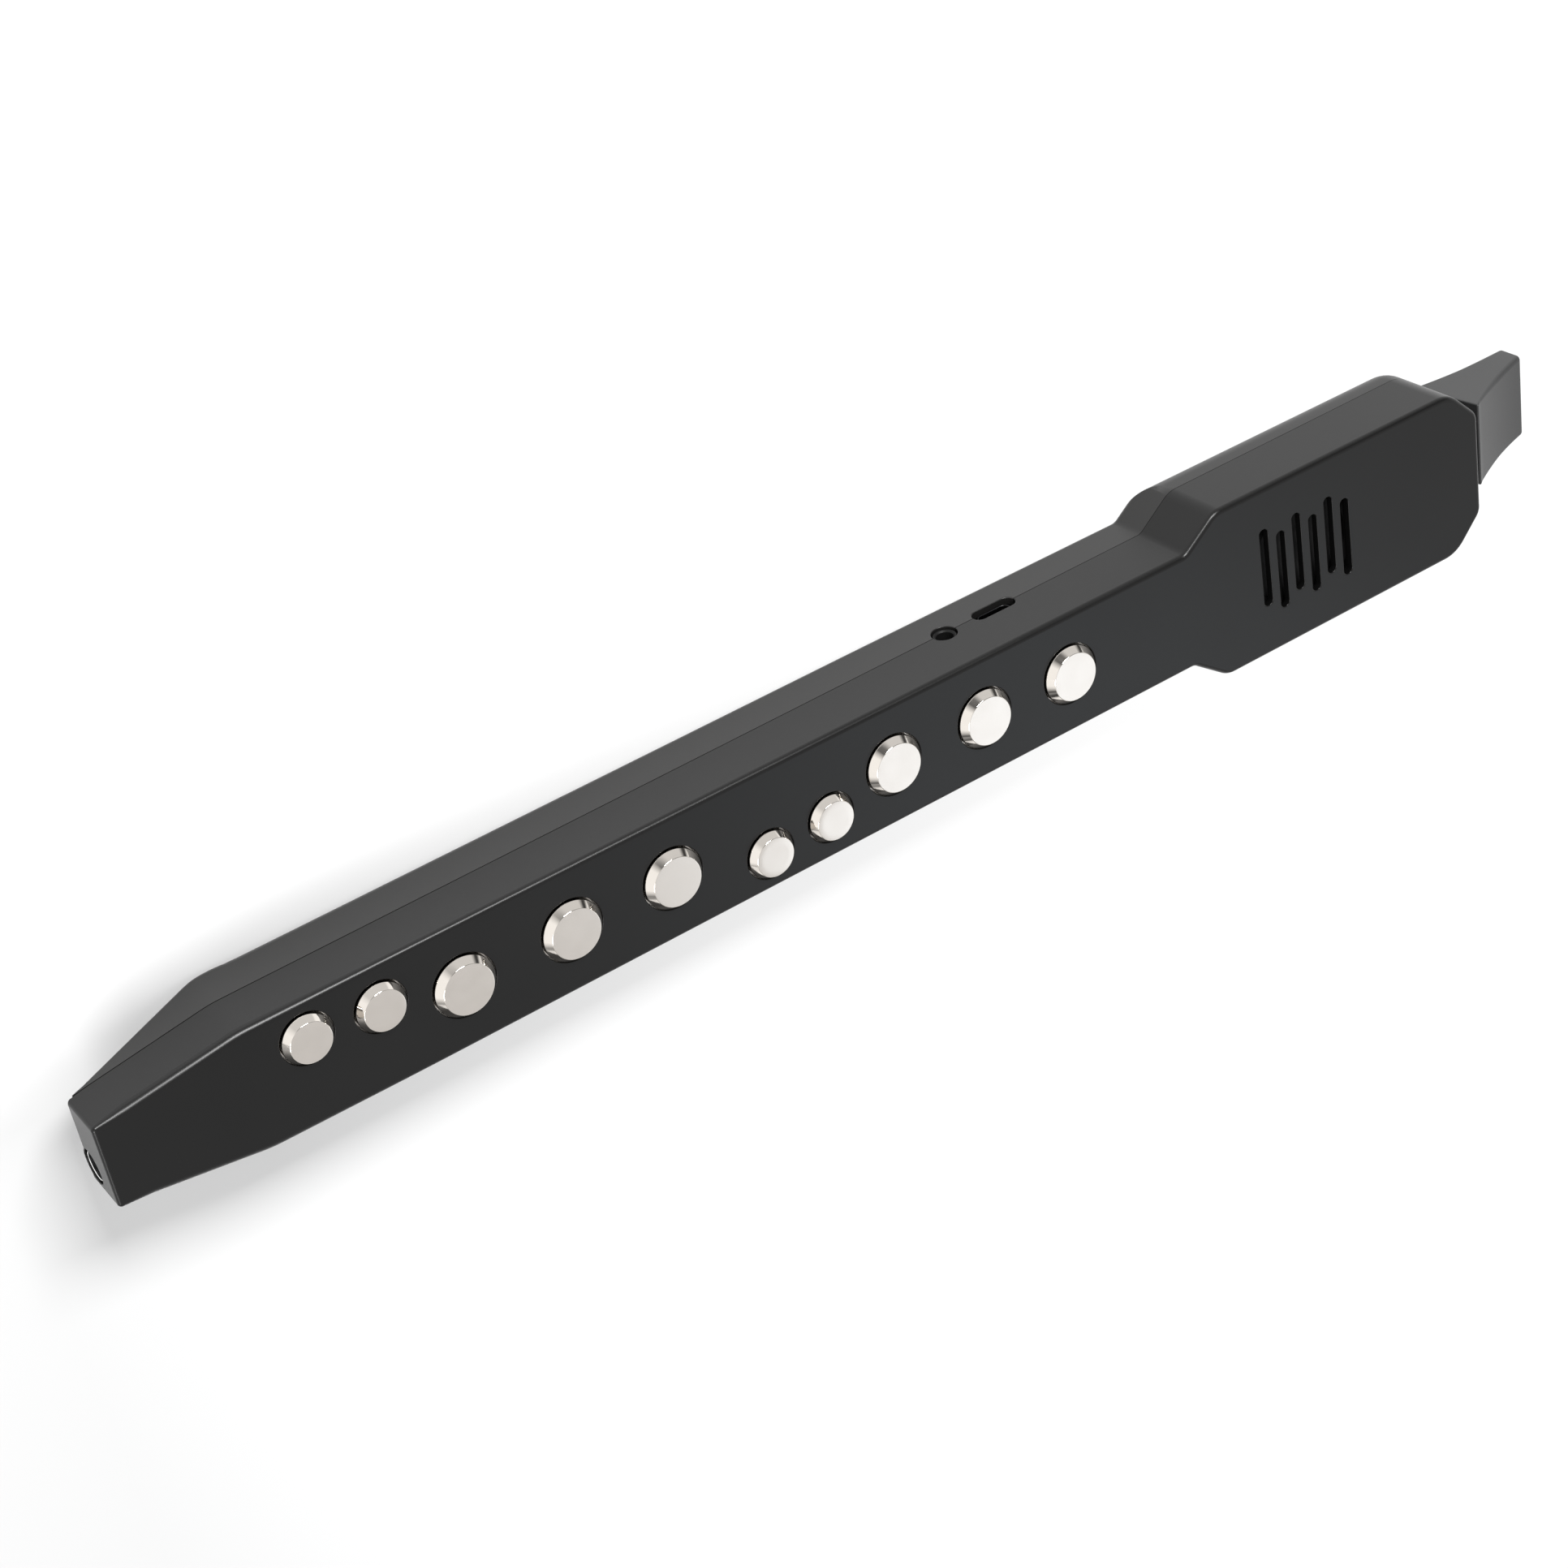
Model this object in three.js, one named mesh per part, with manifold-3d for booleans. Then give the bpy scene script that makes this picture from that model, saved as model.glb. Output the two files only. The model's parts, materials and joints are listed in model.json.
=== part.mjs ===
// A slim electronic wind instrument with ten finger keys, a loudspeaker head and a pull-off mouthpiece.
// Millimetres. X runs from the tail to the mouthpiece, Y to the player's left, Z out of the front face.
// The flat back lies at Z = 0, and the origin is under the middle of the whole length.
import * as THREE from 'three';
import { mergeVertices } from 'three/addons/utils/BufferGeometryUtils.js';
import Module from 'manifold-3d';

const wasm = await Module();
wasm.setup();

// Casing
const overallLength = 400;
const bodyWidth = 29.2;
const bodyDepth = 26;
const wall = 1.8;
const tailWidth = 19.2;
const taperLength = 32.8;
const shoulderLength = 9.6;
const headLength = 82.9;
const headWidth = 43.6;
const mouthpieceReach = 32.5;
const cornerCut = 8.5;
const frontEdgeRadius = 1;
const backEdgeRadius = 1.1;
const headBackRadius = 7.4;
const tailCornerRadius = 1.2;
const taperBlendRadius = 30;
const shoulderInnerRadius = 3;
const shoulderOuterRadius = 5;
const headCornerRadius = 3;
const tailEndDepth = 14.5;
const slantLength = 37;
const slantBlendRadius = 20;

// Parting line between the shells, as depths from the front face
const seamDepthTail = 12.9;
const seamDepthHead = 16.9;
const seamGap = 0.3;

// Clearances shared by all pieces
const fitGap = 0.3;
const overrun = 1;
const weldDistance = 0.0001;

// Finger keys: station along the body as a share of the length up to the shoulder
const largeKeyRadius = 7.05;
const smallKeyRadius = 5.65;
const keyTopShare = 0.82;
const keyRise = 2;
const keyRimRise = 0.3;
const keyTravel = 1;
const keyHoleGap = 0.35;
const keyFlangeThickness = 1.2;
const keyStemRadius = 1.5;
const stemEngagement = 0.5;
const outerKeyOffset = 6.1;
const innerKeyOffset = 4.85;
const keyStationShares = [0.1662, 0.2258, 0.2924, 0.3865, 0.4778, 0.5651, 0.624, 0.6891, 0.7807, 0.8695];

// Push switches under the keys
const switchSize = 6;
const switchHeight = 4;
const switchWellDepth = 2.4;

// Main board
const boardThickness = 1.6;
const boardSideGap = 0.6;
const boardTailGap = 20.2;
const chipSize = 9;
const chipHeight = 1.1;

// Case screws, with the bosses and posts that take them
const bossRadius = 3;
const bossOffset = 7.9;
const spigotRadius = 2;
const screwRadius = 1;
const screwHeadRadius = 2;
const screwHeadHeight = 1.6;
const screwHeadSeat = 3;
const screwBite = 4.6;
const screwEndGap = 0.8;
const driveRadius = 0.9;
const driveDepth = 0.8;
const tailScrewLead = 2.7;
const tailScrewOffset = 3.2;
const headScrewInset = 15;
const headScrewOffset = 13;

// Loudspeaker and its slots
const slotCount = 6;
const slotWidth = 2;
const slotLength = 20.2;
const slotPitch = 5.02;
const slotStagger = 1.27;
const firstSlotToHeadEnd = 69.2;
const speakerRadius = 16;
const speakerRimWidth = 2;
const speakerRimThickness = 1;
const speakerDepth = 4.4;
const speakerRingThickness = 1.2;
const speakerRingHeight = 3;
const gasketThickness = 0.8;
const basketFloorRadius = 10;
const basketSheet = 0.8;
const magnetRadius = 8;
const magnetHeight = 4.6;
const poleRadius = 4.6;
const poleRise = 2;
const coneSheet = 0.6;
const coneRise = 1.5;
const dustCapRadius = 5;
const dustCapRise = 1;

// Sockets on the left side, centred on the parting line
const jackLead = 2.6;
const jackNoseRadius = 2.75;
const jackBoreRadius = 1.9;
const jackBoreDepth = 10.5;
const jackBodyWidth = 6.2;
const jackBodyHeight = 5;
const jackBodyLength = 11.6;
const jackNoseRecess = 0.4;
const socketPitch = 14.1;
const portSlotLength = 10.8;
const portSlotHeight = 4;
const portShellLength = 8.9;
const portShellHeight = 3.2;
const portShellSheet = 0.35;
const portShellDepth = 7.6;
const portRecess = 1;
const portBackThickness = 1;
const portTongueLength = 6.4;
const portTongueHeight = 0.7;
const portTongueRecess = 1;
const portFootLength = 5;

// Socket board, its ribs and the header up to the main board
const thinBoardThickness = 1.2;
const portBoardMargin = 4;
const portBoardWidth = 13;
const ribThickness = 1.4;
const headerThickness = 2.4;
const headerLength = 7.6;

// Battery
const batteryEndGap = 3.8;
const batteryWidth = 16.6;
const batteryHeadroom = 4.1;
const batteryCornerRadius = 2;
const batteryEdge = 1.2;
const batteryOffset = 1.9;
const padThickness = 1;
const padInset = 3;

// Leads
const batteryLeadRadius = 0.9;
const batteryLeadOffset = 2;
const batteryLeadReach = 3.6;
const speakerLeadRadius = 0.7;
const speakerLeadInset = 4;
const speakerLeadHeightShare = 0.75;

// Back keys, buttons and their small switches
const octaveKeyRadius = 5.5;
const octaveBoardGap = 1.95;
const octavePitch = 16;
const backKeyRecess = 0.5;
const backFlangeThickness = 1.2;
const dishDepth = 0.5;
const dishShare = 0.75;
const buttonRadius = 3;
const buttonTravel = 0.5;
const buttonStemRadius = 1;
const buttonPitch = 9;
const buttonToHeadEnd = 36.5;
const buttonSwitchSize = 5;
const buttonSwitchHeight = 2.4;
const buttonWellDepth = 1.4;

// Control board and display
const controlBoardWidth = 31;
const controlBoardLength = 46;
const controlBoardToHeadEnd = 30;
const standoffRadius = 1.8;
const pegRadius = 0.8;
const pegRise = 0.6;
const standoffSideInset = 3.4;
const standoffStationShares = [0.08, 0.7];
const windowLength = 25;
const windowWidth = 12.6;
const windowThickness = 0.8;
const windowCornerRadius = 1.5;
const windowLip = 1.4;
const windowSeatDepth = 1.2;
const displayToHeadEnd = 59.5;
const displayMargin = 0.8;
const displayGlassThickness = 1.5;
const displayBackInset = 2;

// Neck
const neckHeight = 8;
const neckShaftRadius = 4.2;
const neckFlangeRadius = 5.5;
const neckFlangeThickness = 2.2;
const neckBlockLength = 7;
const neckBlockWidth = 12.6;
const neckBlockHeight = 6;
const collarWidth = 15;
const collarHeight = 12;
const collarLength = 3.2;
const collarCornerRadius = 3;
const tenonRadius = 4;
const tenonLength = 12;
const neckBoreRadius = 1.8;
const manifoldLength = 1.6;
const nippleRadius = 1.2;
const nippleBoreRadius = 0.7;
const nippleLength = 5;
const nippleOffset = 4;
const nippleTubeGap = 0.3;
const sealSectionRadius = 0.5;
const sealRingRadius = 3.8;
const sealStation = 6;

// Mouthpiece
const mouthpieceWidth = 21.6;
const mouthpieceBaseToTip = 25.3;
const mouthpieceBaseSlant = 3.3;
const mouthpieceBaseFront = 18.9;
const mouthpieceBaseBack = 0.3;
const mouthpieceTipFront = 8.7;
const mouthpieceTipBack = 1.7;
const beakHollowDepth = 2;
const beakHollowShare = 0.5;
const beakCornerShare = 0.22;
const beakRiseShare = 0.17;
const mouthpieceEdge = 1.2;
const socketEndGap = 0.8;
const airSlotWidth = 12;
const airSlotHeight = 2.2;
const airSlotDepth = 8;
const airChannelRadius = 1.3;

// Outlet in the tail end
const outletOffset = 4.6;
const outletDepth = 10.2;
const outletHoleRadius = 3.45;
const sleeveRadius = 3.1;
const sleeveBoreRadius = 2.2;
const sleeveRecess = 0.8;
const sleeveLength = 7;
const outletBossRadius = 5;
const outletBossLength = 4.5;

// Breath sensor and tubes
const sensorSize = 8;
const sensorHeight = 4;
const sensorOffset = 5;
const sensorInset = 2;
const tubeRadius = 2.1;
const tubeFloorGap = 1.4;
const tubeWallGap = 1.1;
const tubeMagnetGap = 0.9;
const tubeBoardGap = 1.2;
const tubeDropShares = [0.88, 0.6, 0.3, 0.06];
const tubeCrossShares = [0.17, 0.33, 0.1];
const tubeDraughtShare = 0.87;

// Facet counts
const cornerStepCount = 2;
const edgeStepCount = 1;
const curveStepCount = 6;
const keySideCount = 16;
const holeSideCount = 18;
const bossSideCount = 10;
const smallSideCount = 8;
const tubeSideCount = 6;
const bendStepCount = 2;

// Places worked out from the sizes above
const headEnd = overallLength - mouthpieceReach;
const shoulderEnd = headEnd - headLength;
const shoulderStart = shoulderEnd - shoulderLength;
const frontInner = bodyDepth - wall;
const bodyInner = bodyWidth / 2 - wall;
const flangeTop = frontInner - fitGap;
const flangeBottom = flangeTop - keyFlangeThickness;
const switchTop = flangeBottom - keyTravel - fitGap;
const switchBottom = switchTop - switchHeight;
const boardTop = switchBottom - fitGap;
const boardBottom = boardTop - boardThickness;
const postTop = boardBottom - fitGap;
const keyStations = keyStationShares.map((share) => share * shoulderStart);
const slotCentre = headEnd - firstSlotToHeadEnd + slotPitch * (slotCount - 1) / 2;
const boardEnd = slotCentre - speakerRadius - speakerRingThickness - 2 * fitGap;
const boardStart = wall + boardTailGap;
const backFlangeBottom = wall + fitGap;
const backFlangeTop = backFlangeBottom + backFlangeThickness;
const octaveSwitchTop = boardBottom - fitGap;
const octaveSwitchBottom = octaveSwitchTop - switchHeight;
const buttonSwitchBottom = backFlangeTop + buttonTravel + fitGap;
const controlBoardBottom = buttonSwitchBottom + buttonSwitchHeight;
const controlBoardTop = controlBoardBottom + thinBoardThickness;
const controlBoardEnd = headEnd - controlBoardToHeadEnd;
const controlBoardStart = controlBoardEnd - controlBoardLength;
const displayCentre = headEnd - displayToHeadEnd;
const buttonStation = headEnd - buttonToHeadEnd;
const jackStation = keyStations[8] + jackLead;
const portStation = jackStation + socketPitch;
const jackHeight = bodyDepth - seamDepth(jackStation);
const portHeight = bodyDepth - seamDepth(portStation);
const portBoardTop = jackHeight - jackBodyHeight / 2 - fitGap;
const portBoardBottom = portBoardTop - thinBoardThickness;
const portBoardStart = jackStation - jackBodyWidth / 2 - portBoardMargin;
const portBoardEnd = portStation + portShellLength / 2 + portBoardMargin;
const portBoardSide = bodyInner - boardSideGap;
const firstOctaveStation = portBoardEnd + octaveBoardGap + octaveKeyRadius + 2 * keyHoleGap;
const octaveStations = [firstOctaveStation, firstOctaveStation + octavePitch];
const batteryPosts = [(keyStations[4] + keyStations[5]) / 2, (keyStations[7] + keyStations[8]) / 2];
const batteryMiddle = (batteryPosts[0] + batteryPosts[1]) / 2;
const batteryLength = batteryPosts[1] - batteryPosts[0] - 2 * (bossRadius + batteryEndGap);
const batteryEnd = batteryMiddle + batteryLength / 2;
const padTop = wall + fitGap + padThickness;
const batteryBottom = padTop + fitGap;
const batteryThickness = boardBottom - batteryHeadroom - batteryBottom;
const outletHeight = bodyDepth - outletDepth;
const sleeveEnd = sleeveRecess + sleeveLength;
const sleeveTipLength = nippleLength - overrun;
const speakerTop = frontInner - gasketThickness - 2 * fitGap;
const basketBottom = speakerTop - speakerDepth;
const magnetTop = basketBottom - fitGap;
const neckInnerFace = headEnd - wall - fitGap;
const neckBlockEnd = neckInnerFace - neckBlockLength;
const neckOuterFace = headEnd + fitGap + collarLength;
const tenonEnd = neckOuterFace + tenonLength;
const mouthpieceBase = overallLength - mouthpieceBaseToTip;
const socketEnd = tenonEnd + socketEndGap;
const airLine = (mouthpieceTipFront + mouthpieceTipBack) / 2;
const tubeBoreRadius = nippleRadius + nippleTubeGap;
const sealGrooveRadius = sealRingRadius - sealSectionRadius - fitGap;
const sensorBottom = controlBoardTop + fitGap;
const sensorMiddle = sensorBottom + sensorHeight / 2;
const sensorEnd = controlBoardEnd - sensorInset;
const screwPlaces = [
  [keyStations[0] - tailScrewLead, -tailScrewOffset],
  [(keyStations[2] + keyStations[3]) / 2, bossOffset],
  [batteryPosts[0], bossOffset],
  [batteryPosts[1], bossOffset],
  [(octaveStations[0] + octaveStations[1]) / 2, bossOffset],
];
const headScrewPlaces = [
  [headEnd - headScrewInset, headScrewOffset],
  [headEnd - headScrewInset, -headScrewOffset],
];

// Finishes
const shellBlack = finish(0x343435, 0.5, 0);
const shellBackBlack = finish(0x3a3a3b, 0.5, 0);
const nickel = finish(0xd2cdc6, 0.28, 1);
const mouthBlack = finish(0x4a4a4b, 0.5, 0);
const neckBlack = finish(0x111112, 0.6, 0);
const switchBlack = finish(0x1c1c1e, 0.5, 0);
const boardGreen = finish(0x1d4a2c, 0.5, 0.1);
const steel = finish(0xa8aaad, 0.35, 1);
const darkSteel = finish(0x3b3c3e, 0.4, 1);
const socketBlack = finish(0x0c0c0d, 0.45, 0);
const conePaper = finish(0x1a1a1b, 0.8, 0);
const foam = finish(0x3a3a38, 0.95, 0);
const cellWrap = finish(0x8d9aa6, 0.4, 0.3);
const silicone = finish(0xb9bcb8, 0.5, 0);
const sealRubber = finish(0x151515, 0.8, 0);
const glassBlack = finish(0x08090b, 0.08, 0);
const leadRed = finish(0xa3201c, 0.5, 0);

function finish(color, roughness, metalness) {
  return new THREE.MeshStandardMaterial({ color, roughness, metalness });
}

function seamDepth(x) {
  return seamDepthTail + (seamDepthHead - seamDepthTail) * x / headEnd;
}

// Solids: a closed geometry becomes a solid that can be joined and cut.
function toSolid(geometry) {
  const plain = geometry.index ? geometry.toNonIndexed() : geometry.clone();
  plain.deleteAttribute('normal');
  plain.deleteAttribute('uv');
  const merged = mergeVertices(plain, weldDistance);
  const corners = [];
  const index = merged.index.array;
  for (let i = 0; i < index.length; i += 3) {
    const [a, b, c] = index.subarray(i, i + 3);
    if (a !== b && b !== c && c !== a) {
      corners.push(a, b, c);
    }
  }
  return new wasm.Manifold(new wasm.Mesh({
    numProp: 3,
    vertProperties: new Float32Array(merged.attributes.position.array),
    triVerts: new Uint32Array(corners),
  }));
}

function toGeometry(solid) {
  const mesh = solid.getMesh();
  const geometry = new THREE.BufferGeometry();
  geometry.setAttribute('position', new THREE.BufferAttribute(new Float32Array(mesh.vertProperties), 3));
  geometry.setIndex(new THREE.BufferAttribute(new Uint32Array(mesh.triVerts), 1));
  geometry.computeVertexNormals();
  return geometry;
}

function join(...solids) {
  return solids.reduce((whole, solid) => whole.add(solid));
}

function cut(whole, ...cutters) {
  return cutters.reduce((rest, cutter) => rest.subtract(cutter), whole);
}

function block(x0, x1, y0, y1, z0, z1) {
  const geometry = new THREE.BoxGeometry(x1 - x0, y1 - y0, z1 - z0);
  geometry.translate((x0 + x1) / 2, (y0 + y1) / 2, (z0 + z1) / 2);
  return toSolid(geometry);
}

function rod(radius, x, y, z0, z1, sides = bossSideCount) {
  const geometry = new THREE.CylinderGeometry(radius, radius, z1 - z0, sides);
  geometry.rotateX(Math.PI / 2);
  geometry.translate(x, y, (z0 + z1) / 2);
  return toSolid(geometry);
}

function rodAlongX(radius, x0, x1, y, z, sides = bossSideCount) {
  const geometry = new THREE.CylinderGeometry(radius, radius, x1 - x0, sides);
  geometry.rotateZ(Math.PI / 2);
  geometry.translate((x0 + x1) / 2, y, z);
  return toSolid(geometry);
}

function rodAlongY(radius, x, y0, y1, z, sides = bossSideCount) {
  const geometry = new THREE.CylinderGeometry(radius, radius, y1 - y0, sides);
  geometry.translate(x, (y0 + y1) / 2, z);
  return toSolid(geometry);
}

// A turned form about the Z axis, from radius and height pairs listed upwards from the axis.
function turned(profile, sides) {
  const points = profile.map(([radius, height]) => new THREE.Vector2(radius, height));
  const geometry = new THREE.LatheGeometry(points, sides);
  geometry.rotateX(Math.PI / 2);
  return toSolid(geometry);
}

function extruded(shape, length, edge, steps) {
  return new THREE.ExtrudeGeometry(shape, {
    depth: length - 2 * edge,
    curveSegments: steps,
    bevelEnabled: edge > 0,
    bevelThickness: edge,
    bevelSize: edge,
    bevelOffset: -edge,
    bevelSegments: edgeStepCount,
  });
}

// An outline in X and Y made solid between two heights, with rounded rims where an edge is given.
function plate(shape, bottom, top, edge = 0) {
  const geometry = extruded(shape, top - bottom, edge, cornerStepCount);
  geometry.translate(0, 0, bottom + edge);
  return toSolid(geometry);
}

// An outline in X and Z made solid between two places across the instrument.
function sidePlate(shape, y0, y1, edge = 0, steps = cornerStepCount) {
  const geometry = extruded(shape, y1 - y0, edge, steps);
  geometry.rotateX(Math.PI / 2);
  geometry.translate(0, y1 - edge, 0);
  return toSolid(geometry);
}

// An outline in Y and Z made solid between two stations along the instrument.
function crossPlate(shape, x0, x1, edge = 0) {
  const geometry = extruded(shape, x1 - x0, edge, cornerStepCount);
  geometry.rotateX(Math.PI / 2);
  geometry.rotateZ(Math.PI / 2);
  geometry.translate(x0 + edge, 0, 0);
  return toSolid(geometry);
}

// A tube or lead along a smooth curve, with its steps shared evenly among the curve's points.
function swept(points, radius, boreRadius = 0) {
  const knots = points.map((point) => new THREE.Vector3(...point));
  const path = new THREE.CatmullRomCurve3(knots, false, 'centripetal');
  path.getUtoTmapping = (share) => share;
  const section = new THREE.Shape();
  section.absarc(0, 0, radius, 0, 2 * Math.PI);
  if (boreRadius > 0) {
    const bore = new THREE.Path();
    bore.absarc(0, 0, boreRadius, 0, 2 * Math.PI);
    section.holes.push(bore);
  }
  const geometry = new THREE.ExtrudeGeometry(section, {
    steps: bendStepCount * (points.length - 1),
    curveSegments: tubeSideCount / 2,
    extrudePath: path,
  });
  return toSolid(geometry);
}

// Outlines with rounded corners. Each corner is x, y and a radius, listed anticlockwise.
function rounded(corners) {
  const shape = new THREE.Shape();
  corners.forEach(([x, y, radius], i) => {
    const corner = new THREE.Vector2(x, y);
    const inward = corner.clone().sub(cornerAt(corners, i - 1)).normalize();
    const outward = cornerAt(corners, i + 1).sub(corner).normalize();
    const turn = Math.atan2(inward.cross(outward), inward.dot(outward));
    const start = corner.clone().addScaledVector(inward, -radius * Math.tan(Math.abs(turn) / 2));
    if (i === 0) {
      shape.moveTo(start.x, start.y);
    } else {
      shape.lineTo(start.x, start.y);
    }
    if (radius > 0) {
      const quarter = Math.sign(turn) * Math.PI / 2;
      const middle = outward.clone().sub(inward).normalize();
      const centre = corner.addScaledVector(middle, radius / Math.cos(turn / 2));
      const angles = [inward.angle() - quarter, outward.angle() - quarter];
      shape.absarc(centre.x, centre.y, radius, ...angles, turn < 0);
    }
  });
  shape.closePath();
  return shape;
}

function cornerAt(corners, i) {
  const [x, y] = corners[(i + corners.length) % corners.length];
  return new THREE.Vector2(x, y);
}

// Moves every side of an outline inwards: outer corners tighten, and inner ones open.
function inset(corners, distance) {
  return corners.map(([x, y, radius], i) => {
    const corner = new THREE.Vector2(x, y);
    const inward = corner.clone().sub(cornerAt(corners, i - 1)).normalize();
    const outward = cornerAt(corners, i + 1).sub(corner).normalize();
    const turn = inward.cross(outward);
    const middle = new THREE.Vector2(-inward.y - outward.y, inward.x + outward.x).normalize();
    const reach = distance / (middle.y * inward.x - middle.x * inward.y);
    const moved = corner.addScaledVector(middle, reach);
    return [moved.x, moved.y, Math.max(radius - Math.sign(turn) * distance, 0)];
  });
}

function rectangle(x, y, length, width, radius) {
  return [
    [x - length / 2, y - width / 2, radius],
    [x + length / 2, y - width / 2, radius],
    [x + length / 2, y + width / 2, radius],
    [x - length / 2, y + width / 2, radius],
  ];
}

// The casing seen from the front, with both long sides alike
function casingCorners() {
  const side = [
    [0, tailWidth / 2, tailCornerRadius],
    [taperLength, bodyWidth / 2, taperBlendRadius],
    [shoulderStart, bodyWidth / 2, shoulderInnerRadius],
    [shoulderEnd, headWidth / 2, shoulderOuterRadius],
    [headEnd - cornerCut, headWidth / 2, headCornerRadius],
    [headEnd, headWidth / 2 - cornerCut, headCornerRadius],
  ];
  const mirrored = side.map(([x, y, radius]) => [x, -y, radius]);
  return [...mirrored, ...side.reverse()];
}

// The casing seen from the side: the back rises to the tail's end face.
function sideCorners() {
  const farEnd = headEnd + overrun;
  const top = bodyDepth + overrun;
  const tailBack = bodyDepth - tailEndDepth;
  return [
    [slantLength, 0, slantBlendRadius],
    [farEnd, 0, 0],
    [farEnd, top, 0],
    [-overrun, top, 0],
    [-overrun, tailBack * (1 + overrun / slantLength), 0],
  ];
}

// The head seen from its end, with well rounded back corners
function headCorners() {
  const half = headWidth / 2;
  const top = bodyDepth + overrun;
  return [
    [-half, 0, headBackRadius],
    [half, 0, headBackRadius],
    [half, top, 0],
    [-half, top, 0],
  ];
}

function casingPlate(distance, bottom, top, edge = 0) {
  return plate(rounded(inset(casingCorners(), distance)), bottom, top, edge);
}

// The casing's back form, or its hollow where a distance is given
function backForm(distance, edge) {
  const half = headWidth / 2 + overrun;
  const plan = casingPlate(distance, distance, bodyDepth, edge);
  const profile = sidePlate(rounded(inset(sideCorners(), distance)), -half, half);
  const section = crossPlate(rounded(inset(headCorners(), distance)), -overrun, headEnd + overrun);
  return plan.intersect(profile).intersect(section);
}

// All that lies above the parting line, or below it, with half of the gap left open
function besideSeam(side) {
  const x0 = -overrun;
  const x1 = headEnd + overrun;
  const line = (x) => bodyDepth - seamDepth(x) + side * seamGap / 2;
  const far = side > 0 ? bodyDepth + overrun : -overrun;
  const half = headWidth / 2 + overrun;
  const shape = new THREE.Shape();
  shape.moveTo(x0, line(x0));
  shape.lineTo(x1, line(x1));
  shape.lineTo(x1, far);
  shape.lineTo(x0, far);
  return sidePlate(shape, -half, half);
}

function outletBore(radius) {
  const end = wall + outletBossLength + overrun;
  return rodAlongX(radius, -overrun, end, -outletOffset, outletHeight, holeSideCount);
}

// Openings that both shells share along the parting line
function seamOpenings() {
  const slot = rectangle(portStation, portHeight, portSlotLength, portSlotHeight, portSlotHeight / 2);
  const outside = bodyWidth / 2 + overrun;
  const inside = bodyInner - overrun;
  return [
    outletBore(outletHoleRadius),
    rodAlongY(jackNoseRadius + fitGap, jackStation, inside, outside, jackHeight, holeSideCount),
    sidePlate(rounded(slot), inside, outside),
    rodAlongX(neckShaftRadius + fitGap, neckInnerFace - overrun, headEnd + overrun, 0, neckHeight),
  ];
}

// A boss hangs from the front wall. In the body it ends on the main board, with a spigot through it.
function frontBoss(x, y, shoulderHeight) {
  const thick = rod(bossRadius, x, y, shoulderHeight, frontInner + wall / 2);
  const spigot = rod(spigotRadius, x, y, boardBottom, frontInner);
  return join(thick, spigot);
}

function pilotHole(x, y) {
  const top = postTop + screwBite + screwEndGap;
  return rod(screwRadius + fitGap, x, y, boardBottom - overrun, top, smallSideCount);
}

function backPost(x, y) {
  return rod(bossRadius, x, y, wall / 2, postTop);
}

function screwRecess(x, y) {
  const seat = rod(screwHeadRadius + fitGap, x, y, -overrun, screwHeadSeat);
  const clearance = rod(screwRadius + fitGap, x, y, 0, postTop + overrun, smallSideCount);
  return join(seat, clearance);
}

function loudspeakerSlots() {
  const half = slotWidth / 2;
  return Array.from({ length: slotCount }, (_, i) => {
    const x = headEnd - firstSlotToHeadEnd + i * slotPitch;
    const y = i % 2 === 0 ? slotStagger : -slotStagger;
    const slot = rounded(rectangle(x, y, slotWidth, slotLength, half));
    return plate(slot, frontInner - overrun, bodyDepth + overrun);
  });
}

function speakerRing() {
  const inner = speakerRadius + fitGap;
  const bottom = frontInner - speakerRingHeight;
  const ring = rod(inner + speakerRingThickness, slotCentre, 0, bottom, frontInner + wall / 2, holeSideCount);
  return cut(ring, rod(inner, slotCentre, 0, bottom - overrun, frontInner, holeSideCount));
}

function outletBoss() {
  const end = wall + outletBossLength;
  const boss = rodAlongX(outletBossRadius, wall / 2, end, -outletOffset, outletHeight, bossSideCount);
  return boss.intersect(casingPlate(wall / 2, 0, frontInner));
}

function frontShell() {
  const hollow = casingPlate(wall, -overrun, frontInner);
  const keyHoles = keyPlaces().map(([x, y, radius]) => (
    rod(radius + keyHoleGap, x, y, frontInner - overrun, bodyDepth + overrun, keySideCount)));
  const shell = cut(casingPlate(0, 0, bodyDepth, frontEdgeRadius), hollow);
  const fittings = [
    ...screwPlaces.map(([x, y]) => frontBoss(x, y, boardTop + fitGap)),
    ...headScrewPlaces.map(([x, y]) => frontBoss(x, y, boardBottom)),
    speakerRing(),
    outletBoss(),
  ];
  const pilots = [...screwPlaces, ...headScrewPlaces].map(([x, y]) => pilotHole(x, y));
  const whole = join(shell, ...fittings).intersect(besideSeam(1));
  return cut(whole, ...keyHoles, ...loudspeakerSlots(), ...seamOpenings(), ...pilots);
}

// Ribs that carry the socket board, standing on the floor against the left wall
function portRibs() {
  const top = portBoardBottom - fitGap;
  const inside = portBoardSide - portBoardWidth;
  return [portBoardStart, portBoardEnd - ribThickness].map((x) => (
    block(x, x + ribThickness, inside, bodyInner + wall / 2, wall / 2, top)));
}

function standoffPlaces() {
  const y = controlBoardWidth / 2 - standoffSideInset;
  return standoffStationShares.flatMap((share) => {
    const x = controlBoardStart + share * controlBoardLength;
    return [[x, y], [x, -y]];
  });
}

function standoffs() {
  return standoffPlaces().map(([x, y]) => join(
    rod(standoffRadius, x, y, wall / 2, controlBoardBottom - fitGap),
    rod(pegRadius, x, y, wall, controlBoardTop + pegRise, smallSideCount),
  ));
}

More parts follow.
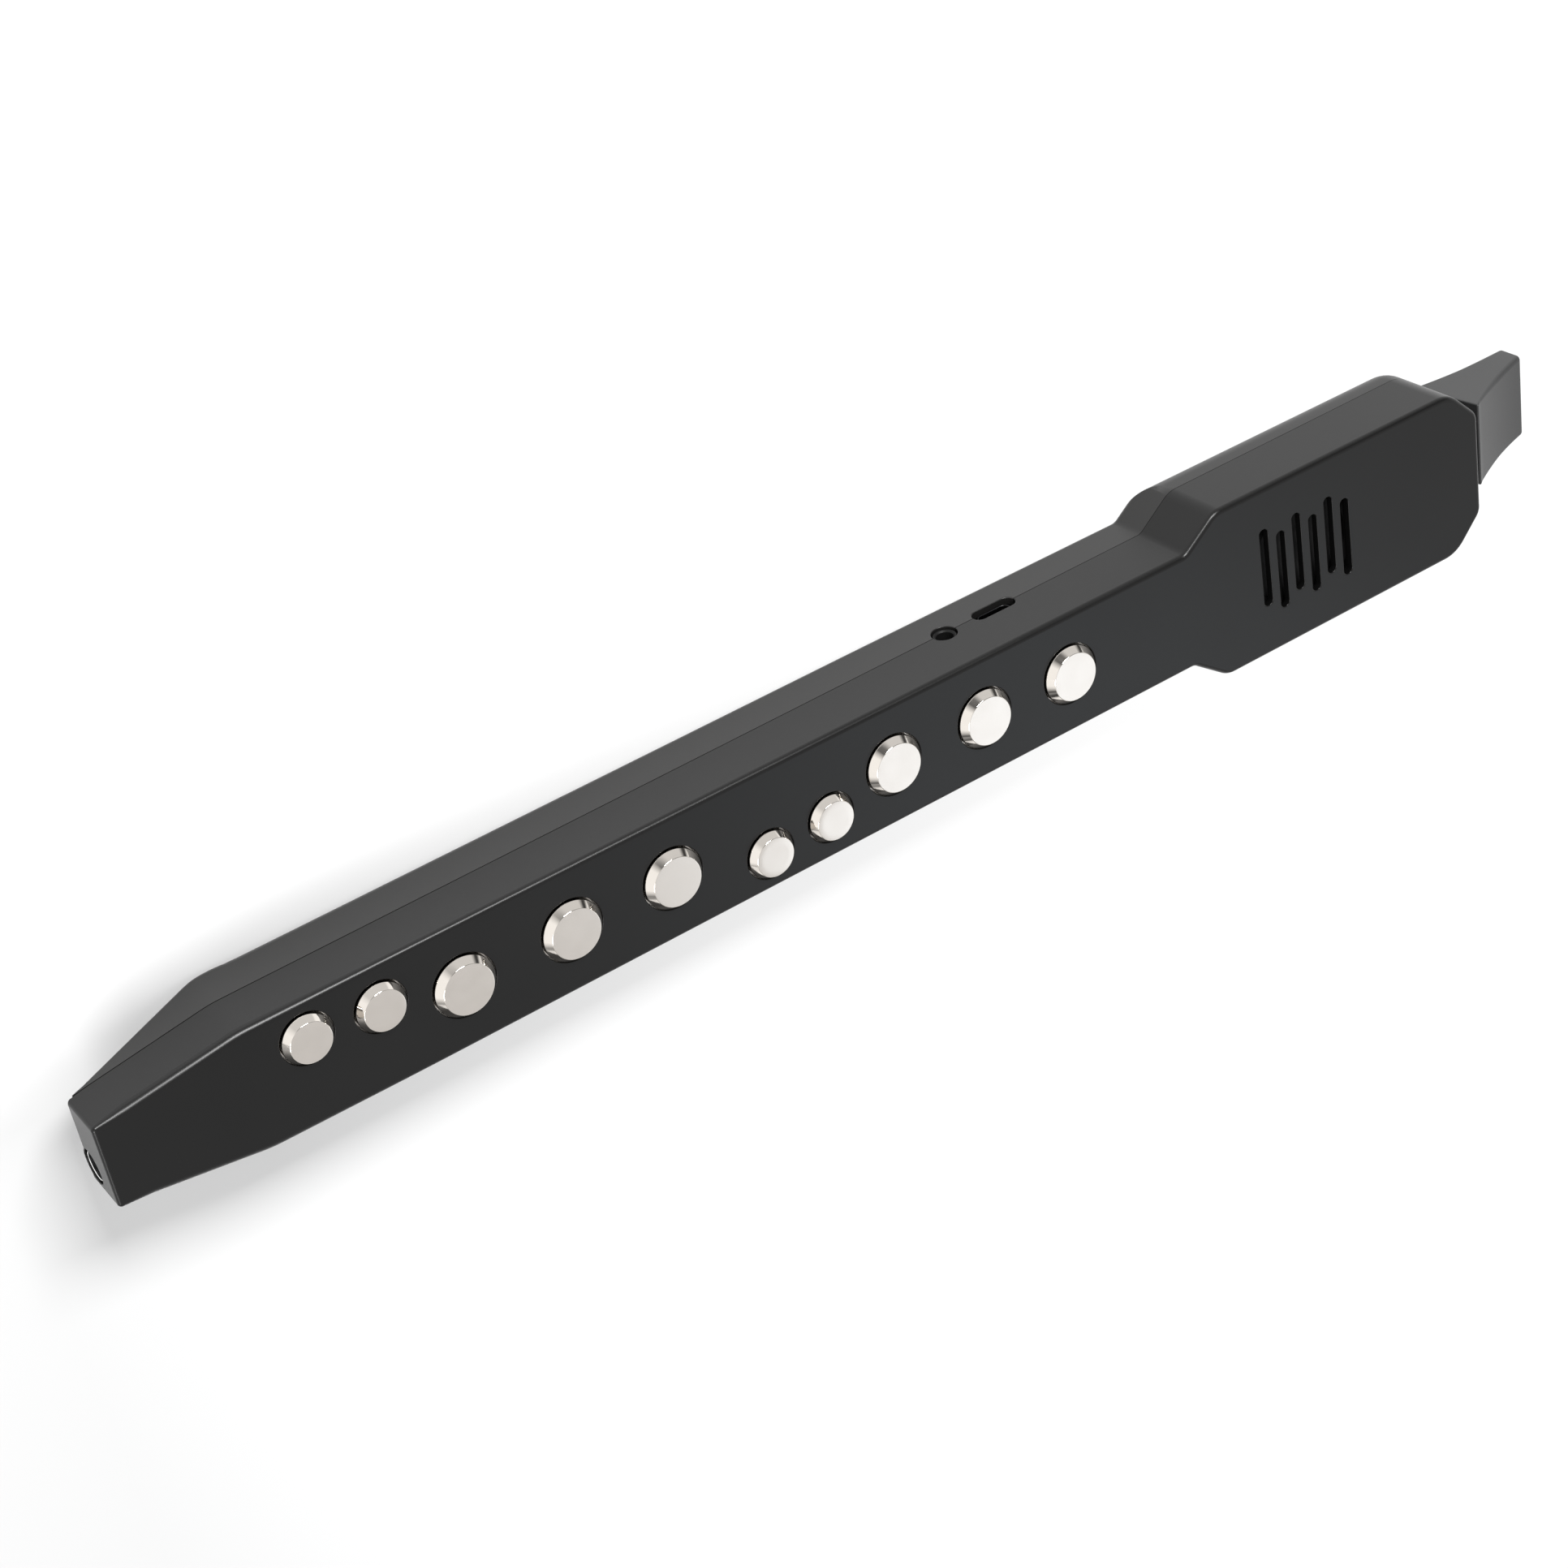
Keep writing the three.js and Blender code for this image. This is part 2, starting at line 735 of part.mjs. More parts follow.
function windowOpening() {
  const length = windowLength + 2 * fitGap;
  const width = windowWidth + 2 * fitGap;
  const seat = rectangle(displayCentre, 0, length, width, windowCornerRadius);
  const through = inset(seat, windowLip);
  return join(
    plate(rounded(seat), -overrun, windowSeatDepth),
    plate(rounded(through), 0, wall + overrun),
  );
}

function backShell() {
  const outside = backForm(0, backEdgeRadius);
  const posts = [...screwPlaces, ...headScrewPlaces].map(([x, y]) => backPost(x, y));
  const fittings = join(...posts, ...portRibs(), ...standoffs()).intersect(outside);
  const whole = join(cut(outside, backForm(wall, 0)), fittings).intersect(join(besideSeam(-1), postSpace()));
  const recesses = [...screwPlaces, ...headScrewPlaces].map(([x, y]) => screwRecess(x, y));
  const octaveHoles = octaveStations.map((x) => (
    rod(octaveKeyRadius + keyHoleGap, x, 0, -overrun, wall + overrun, keySideCount)));
  const buttonHoles = buttonOffsets().map((y) => (
    rod(buttonRadius + keyHoleGap, buttonStation, y, -overrun, wall + overrun, bossSideCount)));
  return cut(whole, ...recesses, ...octaveHoles, ...buttonHoles, windowOpening(), ...seamOpenings());
}

// The posts stand up past the parting line, inside the front shell.
function postSpace() {
  return casingPlate(wall + fitGap, 0, postTop);
}

// Finger keys: a flat top on a polished cone, a flange under the casing and a stem into the switch
function keyPlaces() {
  const small = smallKeyRadius;
  const large = largeKeyRadius;
  const offsets = [outerKeyOffset, innerKeyOffset, 0, 0, 0, -outerKeyOffset, -innerKeyOffset, 0, 0, 0];
  return keyStations.map((x, i) => [x, offsets[i], offsets[i] === 0 ? large : small]);
}

function keyCap(radius) {
  const flange = radius + 2 * keyHoleGap;
  return turned([
    [0, switchTop - stemEngagement],
    [keyStemRadius, switchTop - stemEngagement],
    [keyStemRadius, flangeBottom],
    [flange, flangeBottom],
    [flange, flangeTop],
    [radius, flangeTop],
    [radius, bodyDepth + keyRimRise],
    [radius * keyTopShare, bodyDepth + keyRise],
    [0, bodyDepth + keyRise],
  ], keySideCount);
}

// A push switch with an open well for the stem, facing up, or down where it hangs under the board
function pushSwitch(bottom, facesUp) {
  const half = switchSize / 2;
  const top = bottom + switchHeight;
  const body = block(-half, half, -half, half, bottom, top);
  const wellRadius = keyStemRadius + fitGap;
  const well = facesUp
    ? rod(wellRadius, 0, 0, top - switchWellDepth, top + overrun, smallSideCount)
    : rod(wellRadius, 0, 0, bottom - overrun, bottom + switchWellDepth, smallSideCount);
  return cut(body, well);
}

function addFingerKeys() {
  const radii = [largeKeyRadius, smallKeyRadius];
  const caps = new Map(radii.map((radius) => [radius, toGeometry(keyCap(radius))]));
  const keySwitch = toGeometry(pushSwitch(switchBottom, true));
  keyPlaces().forEach(([x, y, radius], i) => {
    place(`key_cap_${i + 1}`, caps.get(radius), nickel, x, y);
    place(`key_switch_${i + 1}`, keySwitch, switchBlack, x, y);
  });
}

// Keys and buttons in the back have a dished face, a flange inside the casing and a stem upwards.
function backKey(radius, stemRadius, stemTop, sides) {
  const flange = radius + 2 * keyHoleGap;
  return turned([
    [0, backKeyRecess + dishDepth],
    [radius * dishShare, backKeyRecess],
    [radius, backKeyRecess],
    [radius, backFlangeBottom],
    [flange, backFlangeBottom],
    [flange, backFlangeTop],
    [stemRadius, backFlangeTop],
    [stemRadius, stemTop],
    [0, stemTop],
  ], sides);
}

function addOctaveKeys() {
  const stemTop = octaveSwitchBottom + stemEngagement;
  const cap = toGeometry(backKey(octaveKeyRadius, keyStemRadius, stemTop, keySideCount));
  const octaveSwitch = toGeometry(pushSwitch(octaveSwitchBottom, false));
  ['down', 'up'].forEach((side, i) => {
    place(`octave_key_${side}`, cap, nickel, octaveStations[i], 0);
    place(`octave_switch_${side}`, octaveSwitch, switchBlack, octaveStations[i], 0);
  });
}

function buttonOffsets() {
  return [-buttonPitch, 0, buttonPitch];
}

function addButtons() {
  const stemTop = buttonSwitchBottom + stemEngagement;
  const button = toGeometry(backKey(buttonRadius, buttonStemRadius, stemTop, bossSideCount));
  ['power_button', 'minus_button', 'plus_button'].forEach((name, i) => {
    place(name, button, switchBlack, buttonStation, buttonOffsets()[i]);
  });
}

// The main board follows the inside of the casing, with a hole for each spigot.
function mainBoard() {
  const outline = casingPlate(wall + boardSideGap, boardBottom, boardTop);
  const half = headWidth / 2;
  const span = block(boardStart, boardEnd, -half, half, boardBottom - overrun, boardTop + overrun);
  const holes = screwPlaces.map(([x, y]) => (
    rod(spigotRadius + fitGap, x, y, boardBottom - overrun, boardTop + overrun)));
  const side = chipSize / 2;
  const chipStations = [keyStations[2], keyStations[4]];
  const chipFace = boardBottom - chipHeight;
  const chips = chipStations.map((x) => block(x - side, x + side, -side, side, chipFace, boardTop));
  return cut(join(outline.intersect(span), ...chips), ...holes);
}

function portBoard() {
  return block(
    portBoardStart, portBoardEnd,
    portBoardSide - portBoardWidth, portBoardSide,
    portBoardBottom, portBoardTop,
  );
}

function boardHeader() {
  const x = portBoardStart + fitGap;
  const y = portBoardSide - portBoardWidth / 2;
  const bottom = portBoardTop + fitGap;
  return block(x, x + headerThickness, y - headerLength / 2, y + headerLength / 2, bottom, postTop);
}

function headphoneJack() {
  const face = bodyWidth / 2 - jackNoseRecess;
  const bodyFace = bodyInner - fitGap;
  const half = jackBodyWidth / 2;
  const body = block(
    jackStation - half, jackStation + half,
    bodyFace - jackBodyLength, bodyFace,
    jackHeight - jackBodyHeight / 2, jackHeight + jackBodyHeight / 2,
  );
  const nose = rodAlongY(jackNoseRadius, jackStation, bodyFace - overrun, face, jackHeight, holeSideCount);
  const bore = rodAlongY(jackBoreRadius, jackStation, face - jackBoreDepth, face + overrun, jackHeight);
  return cut(join(body, nose), bore);
}

// The charging socket is a folded metal shell with a back, a tongue and a foot on the board.
function chargingSocket() {
  const face = bodyWidth / 2 - portRecess;
  const back = face - portShellDepth;
  const outline = rectangle(portStation, portHeight, portShellLength, portShellHeight, portShellHeight / 2);
  const shell = sidePlate(rounded(outline), back, face);
  const hollow = sidePlate(rounded(inset(outline, portShellSheet)), back + portBackThickness, face + overrun);
  const tongue = block(
    portStation - portTongueLength / 2, portStation + portTongueLength / 2,
    back + portBackThickness / 2, face - portTongueRecess,
    portHeight - portTongueHeight / 2, portHeight + portTongueHeight / 2,
  );
  const foot = block(
    portStation - portFootLength / 2, portStation + portFootLength / 2,
    back, portBoardSide,
    portBoardTop + fitGap, portHeight - portShellHeight / 2 + portShellSheet / 2,
  );
  return join(cut(join(shell, foot), hollow), tongue);
}

// Loudspeaker: gasket, frame, cone and magnet, all turned about one axis
function speakerGasket() {
  return ringAround(speakerRadius, speakerRadius - speakerRimWidth, speakerTop + fitGap, frontInner - fitGap);
}

function ringAround(outer, inner, bottom, top) {
  return cut(
    rod(outer, slotCentre, 0, bottom, top, holeSideCount),
    rod(inner, slotCentre, 0, bottom - overrun, top + overrun, holeSideCount),
  );
}

function speakerFrame() {
  const rimBottom = speakerTop - speakerRimThickness;
  const inner = speakerRadius - speakerRimWidth;
  const opening = poleRadius + 2 * fitGap;
  const floorTop = basketBottom + basketSheet;
  const profile = [
    [opening, basketBottom],
    [basketFloorRadius, basketBottom],
    [inner + basketSheet, rimBottom],
    [speakerRadius, rimBottom],
    [speakerRadius, speakerTop],
    [inner, speakerTop],
    [inner, rimBottom],
    [basketFloorRadius - basketSheet, floorTop],
    [opening, floorTop],
    [opening, basketBottom],
  ];
  return turned(profile, holeSideCount);
}

function speakerCone() {
  const radius = speakerRadius - speakerRimWidth - fitGap;
  const rimTop = speakerTop - fitGap;
  const throat = rimTop - coneRise;
  return turned([
    [0, throat + dustCapRise - coneSheet],
    [dustCapRadius, throat - coneSheet],
    [radius, rimTop - coneSheet],
    [radius, rimTop],
    [dustCapRadius, throat],
    [0, throat + dustCapRise],
  ], holeSideCount);
}

function speakerMagnet() {
  return turned([
    [0, magnetTop - magnetHeight],
    [magnetRadius, magnetTop - magnetHeight],
    [magnetRadius, magnetTop],
    [poleRadius, magnetTop],
    [poleRadius, magnetTop + poleRise],
    [0, magnetTop + poleRise],
  ], holeSideCount);
}

function battery() {
  const shape = rectangle(batteryMiddle, batteryOffset, batteryLength, batteryWidth, batteryCornerRadius);
  return plate(rounded(shape), batteryBottom, batteryBottom + batteryThickness, batteryEdge);
}

function batteryPad() {
  const shape = rectangle(
    batteryMiddle, batteryOffset,
    batteryLength - 2 * padInset, batteryWidth - 2 * padInset, padThickness,
  );
  return plate(rounded(shape), wall + fitGap, padTop);
}

function batteryLead() {
  const start = batteryEnd + fitGap;
  const height = batteryBottom + batteryThickness / 2;
  const y = batteryOffset - batteryLeadOffset * 2;
  return swept([
    [start, y, height],
    [start + batteryLeadReach / 2, y, height],
    [start + batteryLeadReach, y, height + batteryLeadReach / 2],
    [start + batteryLeadReach, y, postTop],
  ], batteryLeadRadius);
}

function speakerLead() {
  const start = boardEnd - speakerLeadInset;
  const end = slotCentre - magnetRadius - fitGap - speakerLeadRadius;
  const magnetBottom = magnetTop - magnetHeight;
  const low = controlBoardTop + (magnetBottom - controlBoardTop) * speakerLeadHeightShare;
  return swept([
    [start, 0, postTop],
    [start, 0, low + speakerLeadInset / 2],
    [start + speakerLeadInset / 2, 0, low],
    [end - speakerLeadInset / 2, 0, low],
    [end, 0, low + speakerLeadInset / 2],
    [end, 0, magnetTop],
  ], speakerLeadRadius);
}

// The control board carries the small switches of the three buttons on its underside.
function controlBoard() {
  const half = controlBoardWidth / 2;
  const board = block(controlBoardStart, controlBoardEnd, -half, half, controlBoardBottom, controlBoardTop);
  const size = buttonSwitchSize / 2;
  const start = buttonStation - size;
  const switches = buttonOffsets().map((y) => (
    block(start, start + buttonSwitchSize, y - size, y + size, buttonSwitchBottom, controlBoardTop)));
  const wellTop = buttonSwitchBottom + buttonWellDepth;
  const wells = buttonOffsets().map((y) => (
    rod(buttonStemRadius + fitGap, buttonStation, y, buttonSwitchBottom - overrun, wellTop, smallSideCount)));
  const pegHoles = standoffPlaces().map(([x, y]) => (
    rod(pegRadius + fitGap, x, y, controlBoardBottom - overrun, controlBoardTop + overrun, smallSideCount)));
  return cut(join(board, ...switches), ...wells, ...pegHoles);
}

function displayWindow() {
  const shape = rectangle(displayCentre, 0, windowLength, windowWidth, windowCornerRadius);
  const top = windowSeatDepth - fitGap;
  return plate(rounded(shape), top - windowThickness, top);
}

function displayModule() {
  const length = windowLength - 2 * windowLip + 2 * displayMargin;
  const width = windowWidth - 2 * windowLip + 2 * displayMargin;
  const bottom = wall + fitGap;
  const glass = rectangle(displayCentre, 0, length, width, 0);
  return join(
    plate(rounded(glass), bottom, bottom + displayGlassThickness),
    plate(rounded(inset(glass, displayBackInset)), bottom, controlBoardBottom - fitGap),
  );
}

// The neck joins the mouthpiece to the sensor and to the drain. Both shells close round its shaft.
function mouthpieceNeck() {
  const flangeStart = neckInnerFace - neckFlangeThickness;
  const flange = rodAlongX(neckFlangeRadius, flangeStart, neckInnerFace, 0, neckHeight);
  const shaft = rodAlongX(neckShaftRadius, neckBlockEnd, neckOuterFace, 0, neckHeight);
  const tenon = rodAlongX(tenonRadius, neckOuterFace - overrun, tenonEnd, 0, neckHeight, holeSideCount);
  const inner = block(
    neckBlockEnd, neckInnerFace,
    -neckBlockWidth / 2, neckBlockWidth / 2,
    neckHeight - neckBlockHeight / 2, neckHeight + neckBlockHeight / 2,
  );
  const collarShape = rounded(rectangle(0, neckHeight, collarWidth, collarHeight, collarCornerRadius));
  const collar = crossPlate(collarShape, headEnd + fitGap, neckOuterFace);
  const tip = neckBlockEnd - nippleLength;
  const nipples = [nippleOffset, -nippleOffset].map((y) => (
    rodAlongX(nippleRadius, tip, neckBlockEnd + overrun, y, neckHeight, smallSideCount)));
  const manifoldStart = neckBlockEnd + manifoldLength;
  const bores = [nippleOffset, -nippleOffset].map((y) => (
    rodAlongX(nippleBoreRadius, tip - overrun, manifoldStart + overrun, y, neckHeight, smallSideCount)));
  const crossway = block(
    manifoldStart, manifoldStart + manifoldLength,
    -nippleOffset - nippleBoreRadius, nippleOffset + nippleBoreRadius,
    neckHeight - nippleBoreRadius, neckHeight + nippleBoreRadius,
  );
  const bore = rodAlongX(neckBoreRadius, manifoldStart, tenonEnd + overrun, 0, neckHeight, bossSideCount);
  const body = join(flange, shaft, tenon, inner, collar, ...nipples);
  return cut(body, ...bores, crossway, bore, sealGroove());
}

function sealGroove() {
  const half = sealSectionRadius + fitGap;
  const middle = neckOuterFace + sealStation;
  const outer = tenonRadius + overrun;
  const disc = rodAlongX(outer, middle - half, middle + half, 0, neckHeight, holeSideCount);
  const core = rodAlongX(sealGrooveRadius, middle - overrun, middle + overrun, 0, neckHeight, holeSideCount);
  return cut(disc, core);
}

function sealingRing() {
  const geometry = new THREE.TorusGeometry(sealRingRadius, sealSectionRadius, tubeSideCount, holeSideCount);
  geometry.rotateY(Math.PI / 2);
  geometry.translate(neckOuterFace + sealStation, 0, neckHeight);
  return toSolid(geometry);
}

// The mouthpiece seen from the side: a hollow beak on the front and a nearly straight back
function mouthpieceShape() {
  const tip = overallLength;
  const base = mouthpieceBase;
  const rise = mouthpieceBaseFront - mouthpieceTipFront;
  const backBase = base - mouthpieceBaseSlant;
  const hollow = new THREE.Vector2(
    tip + (base - tip) * beakHollowShare,
    mouthpieceTipFront + rise * beakHollowShare - beakHollowDepth,
  );
  const corner = beakCornerShare * (tip - base);
  const shape = new THREE.Shape();
  shape.moveTo(backBase, mouthpieceBaseBack);
  shape.lineTo(tip - corner / 2, mouthpieceTipBack);
  shape.quadraticCurveTo(tip, mouthpieceTipBack, tip, (mouthpieceTipBack + mouthpieceTipFront) / 2);
  const tipRise = corner * beakRiseShare;
  shape.quadraticCurveTo(tip, mouthpieceTipFront, tip - corner / 2, mouthpieceTipFront + tipRise);
  shape.quadraticCurveTo(hollow.x, hollow.y, base, mouthpieceBaseFront);
  shape.closePath();
  return shape;
}

function mouthpiece() {
  const half = mouthpieceWidth / 2;
  const body = sidePlate(mouthpieceShape(), -half, half, mouthpieceEdge, curveStepCount);
  const baseBack = mouthpieceBase - mouthpieceBaseSlant - overrun;
  const socket = rodAlongX(tenonRadius + 2 * fitGap, baseBack, socketEnd, 0, neckHeight, holeSideCount);
  const slotStart = overallLength - airSlotDepth;
  const slot = block(
    slotStart, overallLength + overrun,
    -airSlotWidth / 2, airSlotWidth / 2,
    airLine - airSlotHeight / 2, airLine + airSlotHeight / 2,
  );
  const channel = rodAlongX(airChannelRadius, socketEnd - overrun, slotStart + overrun, 0, airLine);
  return cut(body, socket, slot, channel);
}

// The outlet sleeve sits back in the tail's end face and carries the drain tube on its nipple.
function outletSleeve() {
  const y = -outletOffset;
  const z = outletHeight;
  const body = rodAlongX(sleeveRadius, sleeveRecess, sleeveEnd, y, z, holeSideCount);
  const tip = sleeveEnd + sleeveTipLength;
  const nipple = rodAlongX(nippleRadius, sleeveEnd - overrun, tip, y, z, smallSideCount);
  const boreStart = sleeveRecess - overrun;
  const bore = rodAlongX(sleeveBoreRadius, boreStart, sleeveEnd - overrun, y, z, bossSideCount);
  const thinBore = rodAlongX(nippleBoreRadius, boreStart, tip + overrun, y, z, smallSideCount);
  return cut(join(body, nipple), bore, thinBore);
}

function breathSensor() {
  const half = sensorSize / 2;
  const body = block(
    sensorEnd - sensorSize, sensorEnd,
    sensorOffset - half, sensorOffset + half,
    sensorBottom, sensorBottom + sensorHeight,
  );
  const root = sensorEnd - overrun;
  const tip = sensorEnd + nippleLength;
  const nipple = rodAlongX(nippleRadius, root, tip, sensorOffset, sensorMiddle, smallSideCount);
  const bore = rodAlongX(nippleBoreRadius, root, tip + overrun, sensorOffset, sensorMiddle, smallSideCount);
  return cut(join(body, nipple), bore);
}

function airTube() {
  const start = sensorEnd + fitGap;
  const end = neckBlockEnd - fitGap;
  return swept([
    [start, sensorOffset, sensorMiddle],
    [start + nippleLength, sensorOffset, sensorMiddle],
    [end - nippleLength, nippleOffset, neckHeight],
    [end, nippleOffset, neckHeight],
  ], tubeRadius, tubeBoreRadius);
}

// The drain tube runs from the neck over the control board, past the magnet and along the floor.
function drainTube() {
  const lowHeight = wall + tubeFloorGap + tubeRadius;
  const highHeight = controlBoardTop + tubeBoardGap + tubeRadius;
  const bodySide = -(bodyInner - tubeWallGap - tubeRadius);
  const headSide = -(magnetRadius + tubeMagnetGap + tubeRadius);
  const neckStart = neckBlockEnd - fitGap;
  const tailEnd = sleeveEnd + fitGap;
  const straight = nippleLength + fitGap;
  const drop = outletHeight - lowHeight;
  const boardCross = neckStart - straight - controlBoardEnd;
  const [atTail, overBoard, onSlant, atBend] = tubeDropShares;
  const [nearCross, farCross, easeShare] = tubeCrossShares;
  return swept([
    [neckStart, -nippleOffset, neckHeight],
    [neckStart - straight, -nippleOffset, neckHeight],
    [controlBoardEnd + boardCross / 2, -nippleOffset - tubeRadius / 2, (neckHeight + highHeight) / 2],
    [controlBoardEnd + boardCross * easeShare, (headSide - nippleOffset) / 2, highHeight],
    [controlBoardEnd - controlBoardLength * nearCross, headSide + tubeRadius * nearCross, highHeight],
    [controlBoardEnd - controlBoardLength * farCross, headSide, highHeight],
    [controlBoardStart, headSide, highHeight],
    [controlBoardStart - shoulderLength / 2, (headSide + bodySide) / 2, highHeight - tubeRadius / 2],
    [shoulderStart, bodySide, lowHeight + tubeRadius / 2],
    [keyStations[keyStations.length - 1], bodySide, lowHeight],
    [keyStations[1], bodySide, lowHeight],
    [slantLength + 3 * tubeRadius, bodySide, lowHeight],
    [slantLength, bodySide + tubeRadius * easeShare, lowHeight + drop * atBend],
    [(slantLength + boardStart) / 2, bodySide * tubeDraughtShare, lowHeight + drop * onSlant],
    [boardStart, (2 * bodySide - outletOffset) / 3, lowHeight + drop * overBoard],
    [tailEnd + straight + 2 * tubeRadius, -outletOffset - tubeRadius / 3, lowHeight + drop * atTail],
    [tailEnd + straight, -outletOffset, outletHeight],
    [tailEnd, -outletOffset, outletHeight],
  ], tubeRadius, tubeBoreRadius);
}

function caseScrew() {
  const headTop = screwHeadSeat - fitGap;
  const headBottom = headTop - screwHeadHeight;
  const end = postTop + screwBite;
  return turned([
    [0, headBottom + driveDepth],
    [driveRadius, headBottom + driveDepth],
    [driveRadius, headBottom],
    [screwHeadRadius, headBottom],
    [screwHeadRadius, headTop],
    [screwRadius, headTop],
    [screwRadius, end - screwRadius],
    [0, end],
  ], smallSideCount);
}

// The whole instrument
const instrument = new THREE.Group();
instrument.position.x = -overallLength / 2;

function place(name, geometry, material, x = 0, y = 0) {
  const mesh = new THREE.Mesh(geometry, material);
  mesh.name = name;
  mesh.position.set(x, y, 0);
  instrument.add(mesh);
}

function add(name, solid, material) {
  place(name, toGeometry(solid), material);
}

add('front_shell', frontShell(), shellBlack);
add('back_shell', backShell(), shellBackBlack);
addFingerKeys();
addOctaveKeys();
addButtons();
add('main_board', mainBoard(), boardGreen);
add('port_board', portBoard(), boardGreen);
add('control_board', controlBoard(), boardGreen);
add('board_header', boardHeader(), socketBlack);
add('headphone_jack', headphoneJack(), socketBlack);
add('charging_socket', chargingSocket(), steel);
add('speaker_gasket', speakerGasket(), foam);
place('speaker_frame', toGeometry(speakerFrame()), darkSteel, slotCentre);
place('speaker_cone', toGeometry(speakerCone()), conePaper, slotCentre);
place('speaker_magnet', toGeometry(speakerMagnet()), steel, slotCentre);
add('battery', battery(), cellWrap);
add('battery_pad', batteryPad(), foam);
add('battery_lead', batteryLead(), leadRed);
add('speaker_lead', speakerLead(), leadRed);
add('display_window', displayWindow(), glassBlack);
add('display_module', displayModule(), darkSteel);
add('mouthpiece', mouthpiece(), mouthBlack);
add('mouthpiece_neck', mouthpieceNeck(), neckBlack);
add('sealing_ring', sealingRing(), sealRubber);
add('breath_sensor', breathSensor(), socketBlack);
add('air_tube', airTube(), silicone);
add('drain_tube', drainTube(), silicone);
add('outlet_sleeve', outletSleeve(), steel);

const screw = toGeometry(caseScrew());
[...screwPlaces, ...headScrewPlaces].forEach(([x, y], i) => {
  place(`case_screw_${i + 1}`, screw, steel, x, y);
});

export default instrument;
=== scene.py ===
import json
import math
import bpy
from mathutils import Matrix, Vector

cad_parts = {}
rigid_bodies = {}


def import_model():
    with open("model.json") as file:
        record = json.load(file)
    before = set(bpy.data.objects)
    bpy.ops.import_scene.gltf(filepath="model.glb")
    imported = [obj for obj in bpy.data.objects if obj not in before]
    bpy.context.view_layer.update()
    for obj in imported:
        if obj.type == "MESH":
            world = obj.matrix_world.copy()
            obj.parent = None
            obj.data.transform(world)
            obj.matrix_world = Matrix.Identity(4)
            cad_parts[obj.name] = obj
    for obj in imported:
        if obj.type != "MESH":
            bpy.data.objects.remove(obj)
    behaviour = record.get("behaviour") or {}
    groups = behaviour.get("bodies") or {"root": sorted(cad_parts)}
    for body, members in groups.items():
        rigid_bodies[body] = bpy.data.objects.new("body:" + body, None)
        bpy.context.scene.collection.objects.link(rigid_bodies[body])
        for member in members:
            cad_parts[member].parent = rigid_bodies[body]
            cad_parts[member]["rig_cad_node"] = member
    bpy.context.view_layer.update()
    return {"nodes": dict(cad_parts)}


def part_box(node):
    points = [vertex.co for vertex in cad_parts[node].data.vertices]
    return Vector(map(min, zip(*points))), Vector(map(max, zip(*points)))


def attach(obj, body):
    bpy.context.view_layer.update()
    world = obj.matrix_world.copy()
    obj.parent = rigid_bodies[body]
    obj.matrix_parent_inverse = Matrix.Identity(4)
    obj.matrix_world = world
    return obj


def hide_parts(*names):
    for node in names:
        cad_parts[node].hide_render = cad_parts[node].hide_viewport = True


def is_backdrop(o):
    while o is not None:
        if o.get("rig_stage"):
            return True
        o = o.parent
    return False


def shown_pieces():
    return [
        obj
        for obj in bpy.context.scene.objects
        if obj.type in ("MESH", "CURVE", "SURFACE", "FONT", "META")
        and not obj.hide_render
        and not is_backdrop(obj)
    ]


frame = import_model()

# Lengths are millimetres, with x counted from the tail's end face.
mm = 0.001
shellLow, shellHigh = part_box("front_shell")
tailX = shellLow.x


def toFrame(point):
    return Vector((point[0] * mm + tailX, point[1] * mm, point[2] * mm))


def span(node, axis):
    low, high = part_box(node)
    shift = tailX if axis == 0 else 0
    return (low[axis] - shift) / mm, (high[axis] - shift) / mm


def middle(node):
    return [sum(span(node, axis)) / 2 for axis in range(3)]


# Node sheets: a wire is a socket that can be used in sums.
class Wire:
    def __init__(self, sheet, socket):
        self.sheet = sheet
        self.socket = socket

    def __add__(self, other):
        return self.sheet.sum("ADD", self, other)

    def __radd__(self, other):
        return self.sheet.sum("ADD", other, self)

    def __sub__(self, other):
        return self.sheet.sum("SUBTRACT", self, other)

    def __rsub__(self, other):
        return self.sheet.sum("SUBTRACT", other, self)

    def __mul__(self, other):
        return self.sheet.sum("MULTIPLY", self, other)

    def __rmul__(self, other):
        return self.sheet.sum("MULTIPLY", other, self)


